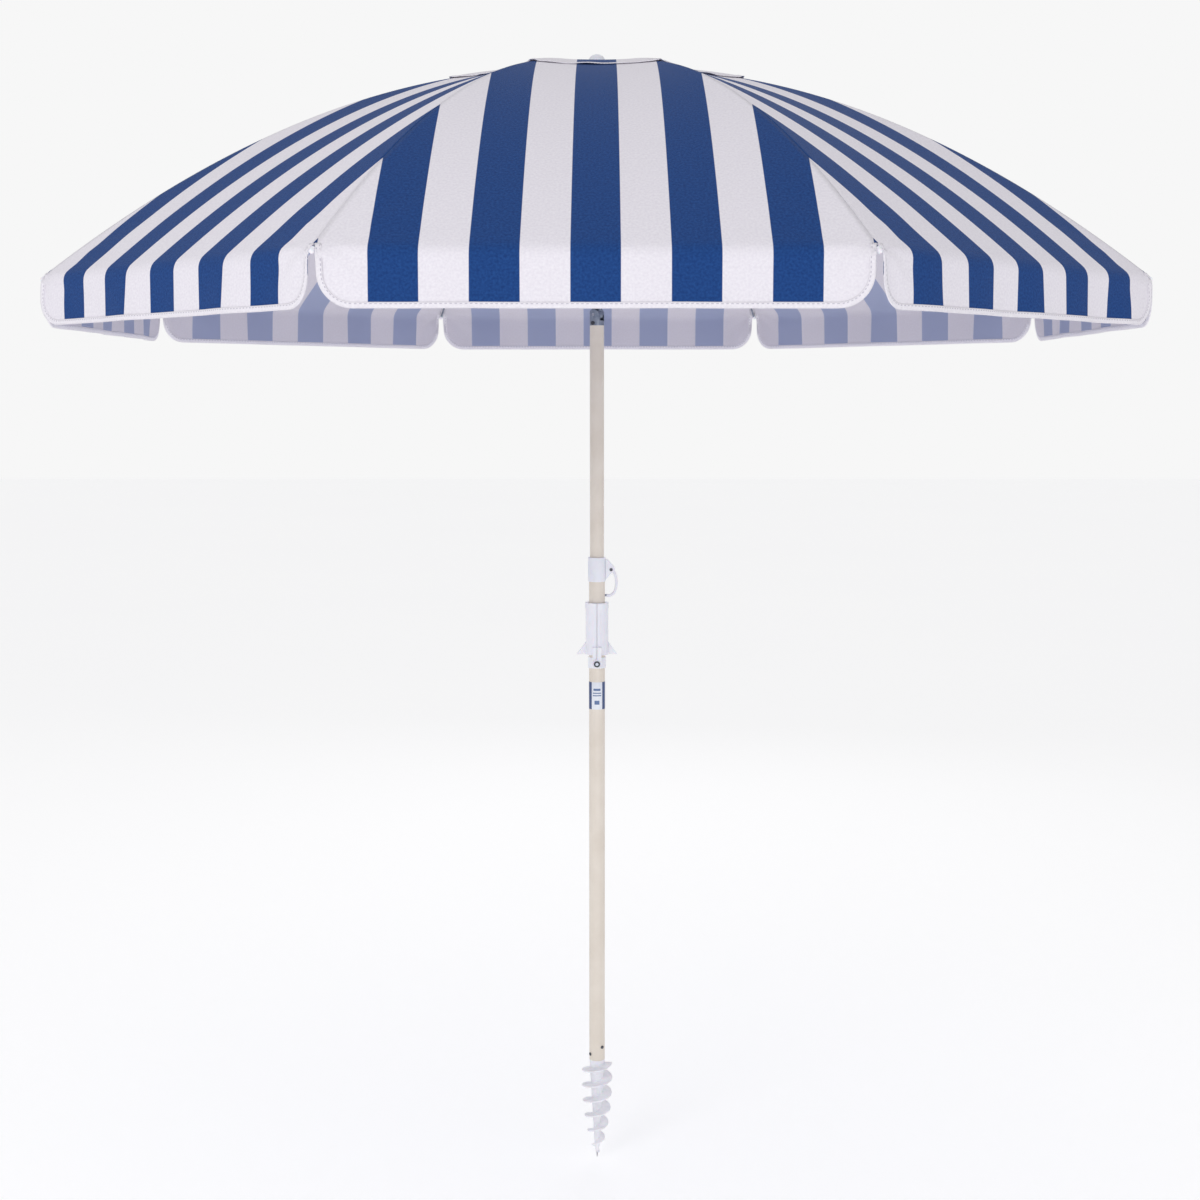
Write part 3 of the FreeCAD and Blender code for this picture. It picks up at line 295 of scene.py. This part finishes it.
def binding_cloth():
    material, tree, shader = new_material(
        "binding", Roughness=0.7, Sheen_Weight=0.2, Specular_IOR_Level=0.25
    )
    weave, cloth = grouped(tree, WEAVE, "cloth", Threads=1600.0)
    place = add(tree, "ShaderNodeSeparateXYZ")
    tree.links.new(cloth, place.inputs[0])
    turns = math_node(tree, "MULTIPLY", place.outputs[0], math.pi / STITCH_LENGTH)
    dash = math_node(tree, "GREATER_THAN", math_node(tree, "SINE", turns), 0.0)
    offset = math_node(tree, "ABSOLUTE", math_node(tree, "SUBTRACT", place.outputs[1], STITCH_INSET))
    line = spread(tree, offset, 0.0004, 0.0009, 1, 0)
    stitch = math_node(tree, "MULTIPLY", dash, line)
    plain = mix_colour(tree, weave.outputs["Tone"], WHITE_CLOTH, WHITE_SHADE)
    tree.links.new(mix_colour(tree, stitch, plain, srgb(196, 192, 206)), shader.inputs["Base Color"])
    bump(tree, shader, math_node(tree, "SUBTRACT", weave.outputs["Height"], stitch), 0.35, 0.0004)
    return material


BINDING = binding_cloth()
print("binding", 1000 * HEM_WIDTH, "mm wide")

# %% [markdown]
# ## Paint, plastic and metal
# The poles are powder coated in cream, with the slight orange peel of such a coat. The handles,
# the latch and the anchor are white polypropylene, a little glossy, with a fine grain and dust
# in it. The tilt joint and the ribs are galvanised steel, whose zinc shows soft spangles.

# %% Paint and plastic
def grained(name, colour, shade, roughness, grain, depth, cloud=18.0, **values):
    """A surface with grain, whose colour and gloss drift slowly between two tones."""
    material, tree, shader = new_material(name, **values)
    surface = grouped(tree, GRAIN, "Object", Grain=grain, Cloud=cloud)[0]
    tone = spread(tree, surface.outputs["Tone"], 0.35, 0.65, 0, 1)
    tree.links.new(mix_colour(tree, tone, colour, shade), shader.inputs["Base Color"])
    gloss = spread(tree, tone, 0, 1, roughness * 0.85, roughness * 1.15)
    tree.links.new(gloss, shader.inputs["Roughness"])
    bump(tree, shader, surface.outputs["Height"], 0.3, depth)
    return material


CREAM = grained("cream paint", srgb(226, 217, 206), srgb(219, 209, 197), 0.36, 420.0, 0.0002,
                Coat_Weight=0.25, Coat_Roughness=0.2)
PLASTIC = grained("white plastic", srgb(238, 238, 245), srgb(228, 228, 237), 0.34, 1500.0, 0.00012,
                  Specular_IOR_Level=0.45, Subsurface_Weight=0.12, Subsurface_Scale=0.004)
ANCHOR_PLASTIC = grained("anchor plastic", srgb(240, 240, 246), srgb(226, 226, 233), 0.42, 900.0, 0.0002,
                         cloud=45.0, Subsurface_Weight=0.12, Subsurface_Scale=0.004)
GALVANISED = grained("galvanised steel", srgb(150, 158, 172), srgb(122, 131, 147), 0.38, 700.0, 0.00015,
                     cloud=120.0, Metallic=0.85)
DARK_STEEL = grained("blackened steel", srgb(92, 94, 100), srgb(66, 68, 74), 0.35, 1200.0, 0.0001,
                     cloud=200.0, Metallic=0.9)
BARE_STEEL = grained("polished steel", srgb(205, 207, 212), srgb(176, 179, 186), 0.24, 1400.0, 0.00008,
                     cloud=240.0, Metallic=1.0)

# %% [markdown]
# ## Label and rivets
# The label is a plain one that is wrapped round the pole: a pale field with dark blue bands at
# its sides and a few plain bars. Its pattern is measured from the label's own box. The handles'
# rivets are tubular, with a dark rolled edge round a pale centre, so their colour goes by the
# distance from the rivet's axis.

# %% Label
LABEL_BAND = 0.0105
# Each bar is its height over the label's foot, half its height, and half its width.
LABEL_BARS = (
    (0.040, 0.0022, 0.007),
    (0.033, 0.001, 0.0085),
    (0.028, 0.001, 0.0085),
    (0.014, 0.004, 0.005),
)


def between(tree, value, middle, half):
    """1 where a value is within half of middle."""
    offset = math_node(tree, "ABSOLUTE", math_node(tree, "SUBTRACT", value, middle))
    return math_node(tree, "LESS_THAN", offset, half)


def label_print():
    material = grained("label", srgb(228, 232, 240), srgb(218, 222, 232), 0.3, 900.0, 0.00004)
    tree = material.node_tree
    shader = tree.nodes["Principled BSDF"]
    colour = shader.inputs["Base Color"].links[0].from_socket
    parts = add(tree, "ShaderNodeSeparateXYZ")
    tree.links.new(add(tree, "ShaderNodeTexCoord").outputs["Object"], parts.inputs[0])
    across, up = parts.outputs[0], parts.outputs[2]
    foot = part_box("pole_label")[0].z
    for height, half_height, half_width in LABEL_BARS:
        bar = math_node(tree, "MULTIPLY", between(tree, up, foot + height, half_height),
                        between(tree, across, 0.0, half_width))
        colour = mix_colour(tree, bar, colour, srgb(92, 116, 160))
    inner = between(tree, across, 0.0, LABEL_BAND)
    colour = mix_colour(tree, inner, srgb(46, 70, 120), colour)
    tree.links.new(colour, shader.inputs["Base Color"])
    return material


LABEL = label_print()
print("label", LABEL.name, "with", len(LABEL_BARS), "bars")

# %% Rivets of the handles
RIVET_CENTRE = 0.0033


def ringed_rivet():
    material = grained("tubular rivet", srgb(70, 72, 78), srgb(52, 54, 60), 0.35, 1200.0, 0.0001,
                       Metallic=0.7)
    tree = material.node_tree
    shader = tree.nodes["Principled BSDF"]
    rim = shader.inputs["Base Color"].links[0].from_socket
    parts = add(tree, "ShaderNodeSeparateXYZ")
    tree.links.new(add(tree, "ShaderNodeTexCoord").outputs["Object"], parts.inputs[0])
    low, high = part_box("handle_rivets")
    up = math_node(tree, "SUBTRACT", parts.outputs[2], (low.z + high.z) / 2)
    squares = [math_node(tree, "MULTIPLY", side, side) for side in (parts.outputs[0], up)]
    distance = math_node(tree, "SQRT", math_node(tree, "ADD", squares[0], squares[1]))
    centre = spread(tree, distance, RIVET_CENTRE - 0.0004, RIVET_CENTRE, 1, 0)
    tree.links.new(mix_colour(tree, centre, rim, srgb(190, 196, 208)), shader.inputs["Base Color"])
    return material


RIVET = ringed_rivet()
print("rivet centre", 1000 * RIVET_CENTRE, "mm")

# %% [markdown]
# ## Finishes for the pieces of the model
# Every piece of the model that stays gets the finish of its real material. The list is kept by
# the start of the names, because ribs and struts repeat.

# %% Give the model's pieces their finish
FINISHES = (
    (CREAM, ("lower_pole", "upper_pole", "top_pole")),
    (GALVANISED, ("rib_", "strut_", "tilt_socket", "tilt_tongue", "crown_wire", "lever_spring",
                  "latch_pin")),
    (DARK_STEEL, ("anchor_screws", "lever_rivet", "tilt_button")),
    (RIVET, ("handle_rivets",)),
    (LABEL, ("pole_label",)),
    (BARE_STEEL, ("tilt_pin",)),
    (ANCHOR_PLASTIC, ("sand_anchor",)),
    (PLASTIC, ("pole_collar", "handle_", "latch_lever", "pole_end_plug", "crown", "finial",
               "runner", "rib_fittings_")),
)


def finish_for(name):
    """The finish whose name fits the longest start of the piece's name."""
    fitting = [(len(start), index) for index, (finish, starts) in enumerate(FINISHES)
               for start in starts if name.startswith(start)]
    return FINISHES[max(fitting)[1]][0] if fitting else PLASTIC


for name, thing in nodes.items():
    thing.data.materials.clear()
    thing.data.materials.append(finish_for(name))
    thing.data.polygons.foreach_set("material_index", [0] * len(thing.data.polygons))

# %% [markdown]
# ## Softened edges
# Moulded and pressed pieces have no razor edges: light catches a narrow round along them. The
# model's pieces are made of loose triangles, so each is copied, its triangles are merged into
# whole faces, and a Bevel modifier rounds what is left sharp. Merging also lets the auger's
# screw face shade smoothly. The two pressed halves of the tilt joint get a wider round.

# %% Softened copies
SOFT_EDGE = 0.00045
STEEL_EDGE = 0.0006
AUGER_EDGE = 0.0007
MERGE_DISTANCE = 0.00001
SHARP = math.radians(38)
SOFTENED = (
    ("pole_collar", "lower_pole", "white_plastic", SOFT_EDGE),
    ("handle_mount", "lower_pole", "white_plastic", SOFT_EDGE),
    ("sand_anchor", "lower_pole", "white_plastic", AUGER_EDGE),
    ("handle_left", "handle_left", "white_plastic", SOFT_EDGE),
    ("handle_right", "handle_right", "white_plastic", SOFT_EDGE),
    ("tilt_socket", "upper_pole", "galvanised_steel", STEEL_EDGE),
    ("tilt_tongue", "canopy_head", "galvanised_steel", STEEL_EDGE),
)


def softened(name, body, width):
    mesh = nodes[name].data.copy()
    bm = bmesh.new()
    bm.from_mesh(mesh)
    bmesh.ops.remove_doubles(bm, verts=bm.verts[:], dist=MERGE_DISTANCE)
    bmesh.ops.dissolve_limit(bm, angle_limit=math.radians(1), verts=bm.verts[:], edges=bm.edges[:])
    for face in bm.faces:
        face.smooth = True
    open_edges = sum(1 for edge in bm.edges if len(edge.link_faces) != 2)
    bm.to_mesh(mesh)
    bm.free()
    mesh.set_sharp_from_angle(angle=SHARP)
    piece = bpy.data.objects.new(name + "_soft", mesh)
    scene.collection.objects.link(piece)
    edge = piece.modifiers.new("soft edges", "BEVEL")
    edge.width = width
    edge.segments = 3
    edge.limit_method = "ANGLE"
    edge.angle_limit = SHARP
    edge.harden_normals = True
    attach(piece, body)
    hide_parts(name)
    return open_edges


for name, body, slot, width in SOFTENED:
    print(name, "softened, open edges", softened(name, body, width))

# %% [markdown]
# ## Measures of the canopy
# The canopy's curve is a parabola of revolution along each rib, with straight threads between
# two ribs. The front panel's own box gives its tips, its vent edge and its hem, and two of those
# heights give the parabola.

# %% Measures of the canopy
RIBS = 8
HALF = math.pi / RIBS
FLAP_DEPTH = 0.088
panel_low, panel_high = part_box("canopy_panel_8")
CANOPY_RADIUS = -panel_low.y / math.cos(HALF)
VENT_RADIUS = -panel_high.y / math.cos(HALF)
TIP_HEIGHT = panel_low.z + FLAP_DEPTH
DROP = (panel_high.z - TIP_HEIGHT) / (1 - (VENT_RADIUS / CANOPY_RADIUS) ** 2)
TOP = TIP_HEIGHT + DROP
CLOTH_THICKNESS = 0.0008
SEAM_GAP = 0.0003
print("canopy radius", round(CANOPY_RADIUS, 4), "top", round(TOP, 4), "drop", round(DROP, 4))


def heading(index):
    """Azimuth of a rib, counted from 0. Panel index lies between rib index and the next one."""
    return -math.pi / 2 + HALF + 2 * HALF * index


def rib_height(radius):
    """Height of the cloth's outer face over a rib."""
    return TOP - DROP * (radius / CANOPY_RADIUS) ** 2


# %% [markdown]
# ## The shape of one panel
# Cloth between two ribs isn't flat. It is pulled tight along the ribs, so it dips a little in
# the middle, and fans of small wrinkles run out from each rib's tip, where the pull is greatest.
# Below the tips it turns down into a flap that hangs nearly straight, with slow waves in it.
# One function gives the cloth's place from two distances: across, and down from the tip line.

# %% Shape of one panel
SAG = 0.011
BEND_LENGTH = 0.024
FLAP_LENGTH = 0.093
FLAP_LEAN = math.radians(88)
WAVE_HEIGHT = 0.0035
WRINKLE_HEIGHT = 0.0022
WRINKLE_REACH = 0.085
WRINKLE_START = 0.02
WRINKLE_FOLDS = 9
SLIT_OPENING = 0.004
CORNER_ROUND = 0.05
TIP_SLOPE = math.atan(2 * DROP / CANOPY_RADIUS / math.cos(HALF))
TIP_HALF_WIDTH = CANOPY_RADIUS * math.sin(HALF) - SEAM_GAP


def flap_fall(depth):
    """How far the flap's middle has come out and down at a length below the tip line."""
    turn = FLAP_LEAN - TIP_SLOPE
    bend_radius = BEND_LENGTH / turn
    angle = TIP_SLOPE + turn * min(depth / BEND_LENGTH, 1)
    rest = max(depth - BEND_LENGTH, 0)
    out = bend_radius * (math.sin(angle) - math.sin(TIP_SLOPE)) + rest * math.cos(FLAP_LEAN)
    down = bend_radius * (math.cos(TIP_SLOPE) - math.cos(angle)) + rest * math.sin(FLAP_LEAN)
    return out, down


def wrinkle(across, down):
    """Fan of small folds round a rib's tip. Both distances are from the tip, in the cloth."""
    distance = math.hypot(across, down)
    fan = math.sin(WRINKLE_FOLDS * math.atan2(down, max(across, 1e-6)) + 0.8)
    start = min(distance / WRINKLE_START, 1)
    return WRINKLE_HEIGHT * fan * math.exp(-distance / WRINKLE_REACH) * start


def wave(across, share, seed):
    """Slow waves of the flap, which grow towards the hem and differ from panel to panel."""
    first = math.sin(across * 21 + 1.7 * seed)
    second = 0.6 * math.sin(across * 43 - 2.3 * seed + 1)
    return WAVE_HEIGHT * share * (first + second)


def dip_between_ribs(radius, share):
    """How far the cloth dips below its straight threads. share is 0 midway and 1 at a rib."""
    run = max((radius - VENT_RADIUS) / (CANOPY_RADIUS - VENT_RADIUS), 0)
    return SAG * (1 - share ** 2) * 4 * run * (1 - run)


def panel_point(across, down, seed):
    """A point of the cloth. down is negative above the tip line, in metres of radius."""
    if down <= 0:
        radius = CANOPY_RADIUS + down
        half_width = radius * math.sin(HALF)
        share = min(abs(across) / half_width, 1)
        dip = dip_between_ribs(radius, share)
        crease = wrinkle(half_width - abs(across), down) * (1 - share ** 8)
        return Vector((radius * math.cos(HALF), across, rib_height(radius) - dip + crease))
    out, fallen = flap_fall(down)
    push = wave(across, down / FLAP_LENGTH, seed) + wrinkle(TIP_HALF_WIDTH - abs(across), down)
    return Vector((CANOPY_RADIUS * math.cos(HALF) + out + push, across, TIP_HEIGHT - fallen))


def flap_half_width(down):
    """Half of the flap's width at a length below the tip line: a slit, then a round corner."""
    width = TIP_HALF_WIDTH - SLIT_OPENING * math.sqrt(max(down, 0) / FLAP_LENGTH)
    below = down - (FLAP_LENGTH - CORNER_ROUND)
    if below > 0:
        width -= CORNER_ROUND - math.sqrt(max(CORNER_ROUND ** 2 - below ** 2, 0))
    return width


# %% [markdown]
# ## From a flat grid to a piece of cloth
# A grid is the natural start for cloth: its rows become threads across the panel and its
# columns threads down it. The vertices of the grid are then moved to where the cloth hangs, and
# the flat place of each is kept as the UV map. Solidify gives the cloth its thickness, and puts
# the lining's colour on the inner face.

# %% Cloth helpers
def cloth_piece(name, columns, rows, place, materials, thickness, turn, offset=-1.0):
    """A grid moved by place(a, b), with a and b from -1 to 1, which gives a point and its
    place in the flat cloth. turn is the azimuth that the piece's +X side is turned to."""
    bm = bmesh.new()
    bmesh.ops.create_grid(bm, x_segments=columns, y_segments=rows, size=1)
    uv_layer = bm.loops.layers.uv.new("cloth")
    flat = {}
    for vertex in bm.verts:
        point, flat_place = place(vertex.co.x, vertex.co.y)
        vertex.co = point
        flat[vertex] = flat_place
    for face in bm.faces:
        face.smooth = True
        for loop in face.loops:
            loop[uv_layer].uv = flat[loop.vert]
    bm.normal_update()
    if sum(face.normal.z + face.normal.x for face in bm.faces) < 0:
        bmesh.ops.reverse_faces(bm, faces=bm.faces[:])
    area = sum(face.calc_area() for face in bm.faces)
    bmesh.ops.rotate(bm, cent=(0, 0, 0), matrix=Matrix.Rotation(turn, 3, "Z"), verts=bm.verts[:])
    mesh = bpy.data.meshes.new(name)
    bm.to_mesh(mesh)
    bm.free()
    piece = bpy.data.objects.new(name, mesh)
    scene.collection.objects.link(piece)
    for material in materials:
        mesh.materials.append(material)
    solid = piece.modifiers.new("thickness", "SOLIDIFY")
    solid.thickness = thickness
    solid.offset = offset
    solid.material_offset = len(materials) - 1
    return piece, area


def hang_between_ribs(piece, index):
    """Bake the placing of a piece of panel index into its mesh, and work out each vertex's share between
    its two ribs from its azimuth. The share is not used further."""
    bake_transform(piece)
    middle = heading(index) + HALF
    for vertex in piece.data.vertices:
        local = Matrix.Rotation(-middle, 3, "Z") @ vertex.co
        share = (math.atan2(local.y, local.x) / HALF + 1) / 2
        share = min(max(share, 0), 1)


# %% [markdown]
# ## The eight panels
# Each panel is one sheet from the vent down over the tip line to the end of its flap. The rows
# are closer where the cloth bends and at the round corners. The hem is a binding of its own: a
# narrow strip that follows the flap's outline and lies over both faces of the cloth.

# %% The eight panels
PANEL_COLUMNS = 72
PANEL_ROWS = 96
FLAP_SHARE = 0.3
OUTLINE_STEPS = 150
HEM_LAYERS = 2.6


def panel_place(seed):
    def place(a, b):
        share = (1 - b) / 2
        if share <= 1 - FLAP_SHARE:
            down = (share / (1 - FLAP_SHARE) - 1) * (CANOPY_RADIUS - VENT_RADIUS)
            half_width = (CANOPY_RADIUS + down) * math.sin(HALF) - SEAM_GAP
        else:
            run = (share - 1 + FLAP_SHARE) / FLAP_SHARE
            down = FLAP_LENGTH * math.sin(run * math.pi / 2)
            half_width = flap_half_width(down)
        across = a * half_width
        return panel_point(across, down, seed), (across, down)
    return place


def outline_place(seed):
    """The binding: a runs along the flap's outline and b from its edge inwards."""
    straight = FLAP_LENGTH - CORNER_ROUND
    corner = CORNER_ROUND * math.pi / 2
    bottom = flap_half_width(FLAP_LENGTH)
    total = straight + corner + bottom

    def place(a, b):
        along = (1 - abs(a)) * total
        inset = HEM_WIDTH * (1 + b) / 2
        if along < straight:
            across, down = flap_half_width(along) - inset, along
        elif along < straight + corner:
            angle = (along - straight) / CORNER_ROUND
            centre = flap_half_width(straight) - CORNER_ROUND
            arm = CORNER_ROUND - inset
            across, down = centre + arm * math.cos(angle), straight + arm * math.sin(angle)
        else:
            across, down = total - along, FLAP_LENGTH - inset
        side = 1 if a >= 0 else -1
        return panel_point(side * across, max(down, 0.0005), seed), (side * along, inset)
    return place


for index in range(RIBS):
    middle = heading(index) + HALF
    panel, panel_area = cloth_piece(
        f"canopy_cloth_{index + 1}", PANEL_COLUMNS, PANEL_ROWS, panel_place(index),
        (CLOTH_TOP, CLOTH_UNDER), CLOTH_THICKNESS, middle,
    )
    hem = cloth_piece(
        f"canopy_hem_{index + 1}", OUTLINE_STEPS, 3, outline_place(index),
        (BINDING,), CLOTH_THICKNESS * HEM_LAYERS, middle, offset=0.0,
    )[0]
    for piece in (panel, hem):
        hang_between_ribs(piece, index)
    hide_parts(f"canopy_panel_{index + 1}")

# %% [markdown]
# ## Seams
# Two panels are sewn together over each rib. Their seam allowance lies flat inside the canopy,
# as a tape between the cloth and the rib, and it closes the fine gap between the panels.

# %% Seams over the ribs
SEAM_WIDTH = 0.013
SEAM_DEPTH = 0.0013
SEAM_THICKNESS = 0.0005
SEAM_FALL = 0.35 * math.tan(HALF)


def seam_place(a, b):
    radius = VENT_RADIUS + (CANOPY_RADIUS - VENT_RADIUS) * (1 - b) / 2
    across = a * SEAM_WIDTH / 2
    sunk = SEAM_DEPTH + abs(across) * SEAM_FALL
    return Vector((radius, across, rib_height(radius) - sunk)), (radius, SEAM_WIDTH / 2 - abs(across))


for index in range(RIBS):
    seam = cloth_piece(
        f"seam_tape_{index + 1}", 4, 80, seam_place, (BINDING,), SEAM_THICKNESS, heading(index),
    )[0]
    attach(seam, f"rib_{index + 1}")

# %% [markdown]
# ## Vent cap
# A second, smaller canopy covers the hole in the middle and lets wind out round its edge. It is
# held only at the finial and by a stitch over each rib, so its hem lies loosely, in uneven low
# waves. It is sewn from eight pieces, like the canopy, with the same stripes.

# %% Vent cap
CAP_RADIUS = -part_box("vent_cap")[0].y / math.cos(HALF)
CAP_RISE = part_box("vent_cap")[1].z - TOP
CAP_START = 0.02
CAP_EDGE_WAVE = 0.0018
CAP_CLEARANCE = 0.0022
CAP_EDGE_INSET = 0.004
CAP_BOW = 0.004
CAP_HEM_LAYERS = 2.2
CAP_COLUMNS = 40
CAP_ROWS = 36


def cap_height(radius, across, seed):
    share = (radius - CAP_START) / (CAP_RADIUS - CAP_START)
    ripple = math.sin(across * 62 + 2.1 * seed) + 0.7 * math.sin(across * 105 - 1.3 * seed)
    lift = CAP_EDGE_WAVE * share ** 3 * (ripple * 0.4 + 0.7)
    return rib_height(radius) + CAP_RISE + (CAP_CLEARANCE - CAP_RISE) * share ** 0.5 + lift


def cap_point(a, radius, seed):
    across = a * radius * math.sin(HALF)
    bow = CAP_BOW * (1 - a * a) * (radius / CAP_RADIUS) ** 2
    height = cap_height(radius, across * (1 - a ** 6), seed) - dip_between_ribs(radius, a)
    return Vector((radius * math.cos(HALF) - bow, across, height))


def cap_place(seed):
    def place(a, b):
        radius = CAP_START + (CAP_RADIUS - CAP_EDGE_INSET - CAP_START) * (1 - b) / 2
        return cap_point(a, radius, seed), (a * radius * math.sin(HALF), radius)
    return place


def cap_hem_place(seed):
    def place(a, b):
        radius = CAP_RADIUS - CAP_EDGE_INSET - HEM_WIDTH * (1 + b) / 2
        return cap_point(a, radius, seed), (a * radius * math.sin(HALF), HEM_WIDTH * (1 + b) / 2)
    return place


for index in range(RIBS):
    middle = heading(index) + HALF
    gore, gore_area = cloth_piece(
        f"vent_cloth_{index + 1}", CAP_COLUMNS, CAP_ROWS, cap_place(index),
        (CLOTH_TOP, CLOTH_UNDER), CLOTH_THICKNESS, middle,
    )
    gore_hem = cloth_piece(
        f"vent_hem_{index + 1}", CAP_COLUMNS, 2, cap_hem_place(index),
        (BINDING,), CLOTH_THICKNESS * CAP_HEM_LAYERS, middle, offset=0.0,
    )[0]
    for piece in (gore, gore_hem):
        hang_between_ribs(piece, index)
    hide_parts("vent_cap")

# %% [markdown]
# A round patch of doubled cloth strengthens the middle under the finial. It starts as a small open
# circle round the hole and grows outwards in rings, and it droops a little, so that it covers the cap's
# inner edge when the ribs fold.

# %% Patch under the finial
PATCH_RADIUS = 0.046
PATCH_HOLE = 0.007
PATCH_DROOP = 0.007
PATCH_LIFT = 0.0022
PATCH_THICKNESS = 0.0012
PATCH_RINGS = 9


def patch_under_finial():
    bm = bmesh.new()
    bmesh.ops.create_circle(bm, cap_ends=False, segments=64, radius=PATCH_HOLE)
    rim = bm.edges[:]
    for ring in range(1, PATCH_RINGS + 1):
        radius = PATCH_HOLE + (PATCH_RADIUS - PATCH_HOLE) * ring / PATCH_RINGS
        made = bmesh.ops.extrude_edge_only(bm, edges=rim)["geom"]
        fresh = [v for v in made if isinstance(v, bmesh.types.BMVert)]
        for vertex in fresh:
            vertex.co = vertex.co.normalized() * radius
        rim = [e for e in made if isinstance(e, bmesh.types.BMEdge)
               and all(v in fresh for v in e.verts)]
    uv_layer = bm.loops.layers.uv.new("cloth")
    for vertex in bm.verts:
        radius = vertex.co.length
        droop = PATCH_DROOP * (radius / PATCH_RADIUS) ** 3
        vertex.co.z = rib_height(radius) + CAP_RISE + PATCH_LIFT - droop
    for face in bm.faces:
        face.smooth = True
        for loop in face.loops:
            loop[uv_layer].uv = (math.atan2(loop.vert.co.y, loop.vert.co.x) * PATCH_RADIUS,
                                 PATCH_RADIUS - loop.vert.co.xy.length)
    bmesh.ops.recalc_face_normals(bm, faces=bm.faces[:])
    bm.normal_update()
    if sum(face.normal.z for face in bm.faces) < 0:
        bmesh.ops.reverse_faces(bm, faces=bm.faces[:])
    mesh = bpy.data.meshes.new("finial_patch")
    bm.to_mesh(mesh)
    bm.free()
    patch = bpy.data.objects.new("finial_patch", mesh)
    scene.collection.objects.link(patch)
    mesh.materials.append(BINDING)
    solid = patch.modifiers.new("thickness", "SOLIDIFY")
    solid.thickness = PATCH_THICKNESS
    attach(patch, "canopy_head")
    return patch


patch = patch_under_finial()

# %% [markdown]
# ## Floor and light
# The umbrella stands in a plain pale studio. The floor is a wide flat plane with a faint glow,
# so that it is about as bright as the backdrop and the horizon hardly shows. It can be looked
# through from below, because the canopy's underside is worth seeing. A broad key light comes
# from the front left, a weaker one from the right, a low one lights the underside, and one
# behind keeps the rear panels from going dark.

# %% Floor
FLOOR_GLOW = 0.36
BACKGROUND = 0.93


def studio_floor():
    bm = bmesh.new()
    bmesh.ops.create_grid(bm, x_segments=1, y_segments=1, size=30)
    material, tree, shader = new_material(
        "studio floor", Roughness=0.9, Emission_Color=(1, 1, 1, 1), Emission_Strength=FLOOR_GLOW
    )
    surface = grouped(tree, GRAIN, "Object", Grain=40.0, Cloud=0.4)[0]
    pale = mix_colour(tree, surface.outputs["Tone"], srgb(231, 231, 232), srgb(228, 228, 230))
    tree.links.new(pale, shader.inputs["Base Color"])
    back = add(tree, "ShaderNodeNewGeometry").outputs["Backfacing"]
    clear = add(tree, "ShaderNodeBsdfTransparent")
    both = add(tree, "ShaderNodeMixShader")
    tree.links.new(back, both.inputs[0])
    tree.links.new(shader.outputs[0], both.inputs[1])
    tree.links.new(clear.outputs[0], both.inputs[2])
    tree.links.new(both.outputs[0], tree.nodes["Material Output"].inputs["Surface"])
    mesh = bpy.data.meshes.new("studio_floor")
    bm.to_mesh(mesh)
    bm.free()
    mesh.materials.append(material)
    floor = bpy.data.objects.new("studio_floor", mesh)
    scene.collection.objects.link(floor)
    floor.location.z = cad_box[0].z - 0.001


studio_floor()

# %% [markdown]
# The backdrop is the world's colour. It is brighter to the camera than it is as a light, because
# a backdrop that shone as brightly as it looks would wash out the blue of the cloth.

# %% Light
SKY = 0.68
AIM_HEIGHT = 1.7
LIGHTS = (
    ("key", (-2.4, -3.8, 3.4), 2.6, 42),
    ("fill", (3.4, -2.8, 2.0), 2.5, 10),
    ("under", (0.3, -3.0, 0.5), 2.0, 8),
    ("back", (0.5, 3.6, 3.0), 3.0, 14),
)
for name, place, size, power in LIGHTS:
    lamp = bpy.data.lights.new(name, "AREA")
    lamp.shape = "DISK"
    lamp.size = size
    lamp.energy = power
    light = bpy.data.objects.new(name, lamp)
    light.location = place
    aim = Vector((0, 0, AIM_HEIGHT)) - Vector(place)
    light.rotation_euler = aim.to_track_quat("-Z", "Y").to_euler()
    scene.collection.objects.link(light)

world = bpy.data.worlds.new("studio")
world.use_nodes = True
world.node_tree.nodes["Background"].inputs["Color"].default_value = (1, 1, 1, 1)
seen = add(world.node_tree, "ShaderNodeLightPath").outputs["Is Camera Ray"]
world.node_tree.links.new(
    spread(world.node_tree, seen, 0, 1, SKY, BACKGROUND),
    world.node_tree.nodes["Background"].inputs["Strength"],
)
scene.world = world
print(len(LIGHTS), "lamps")
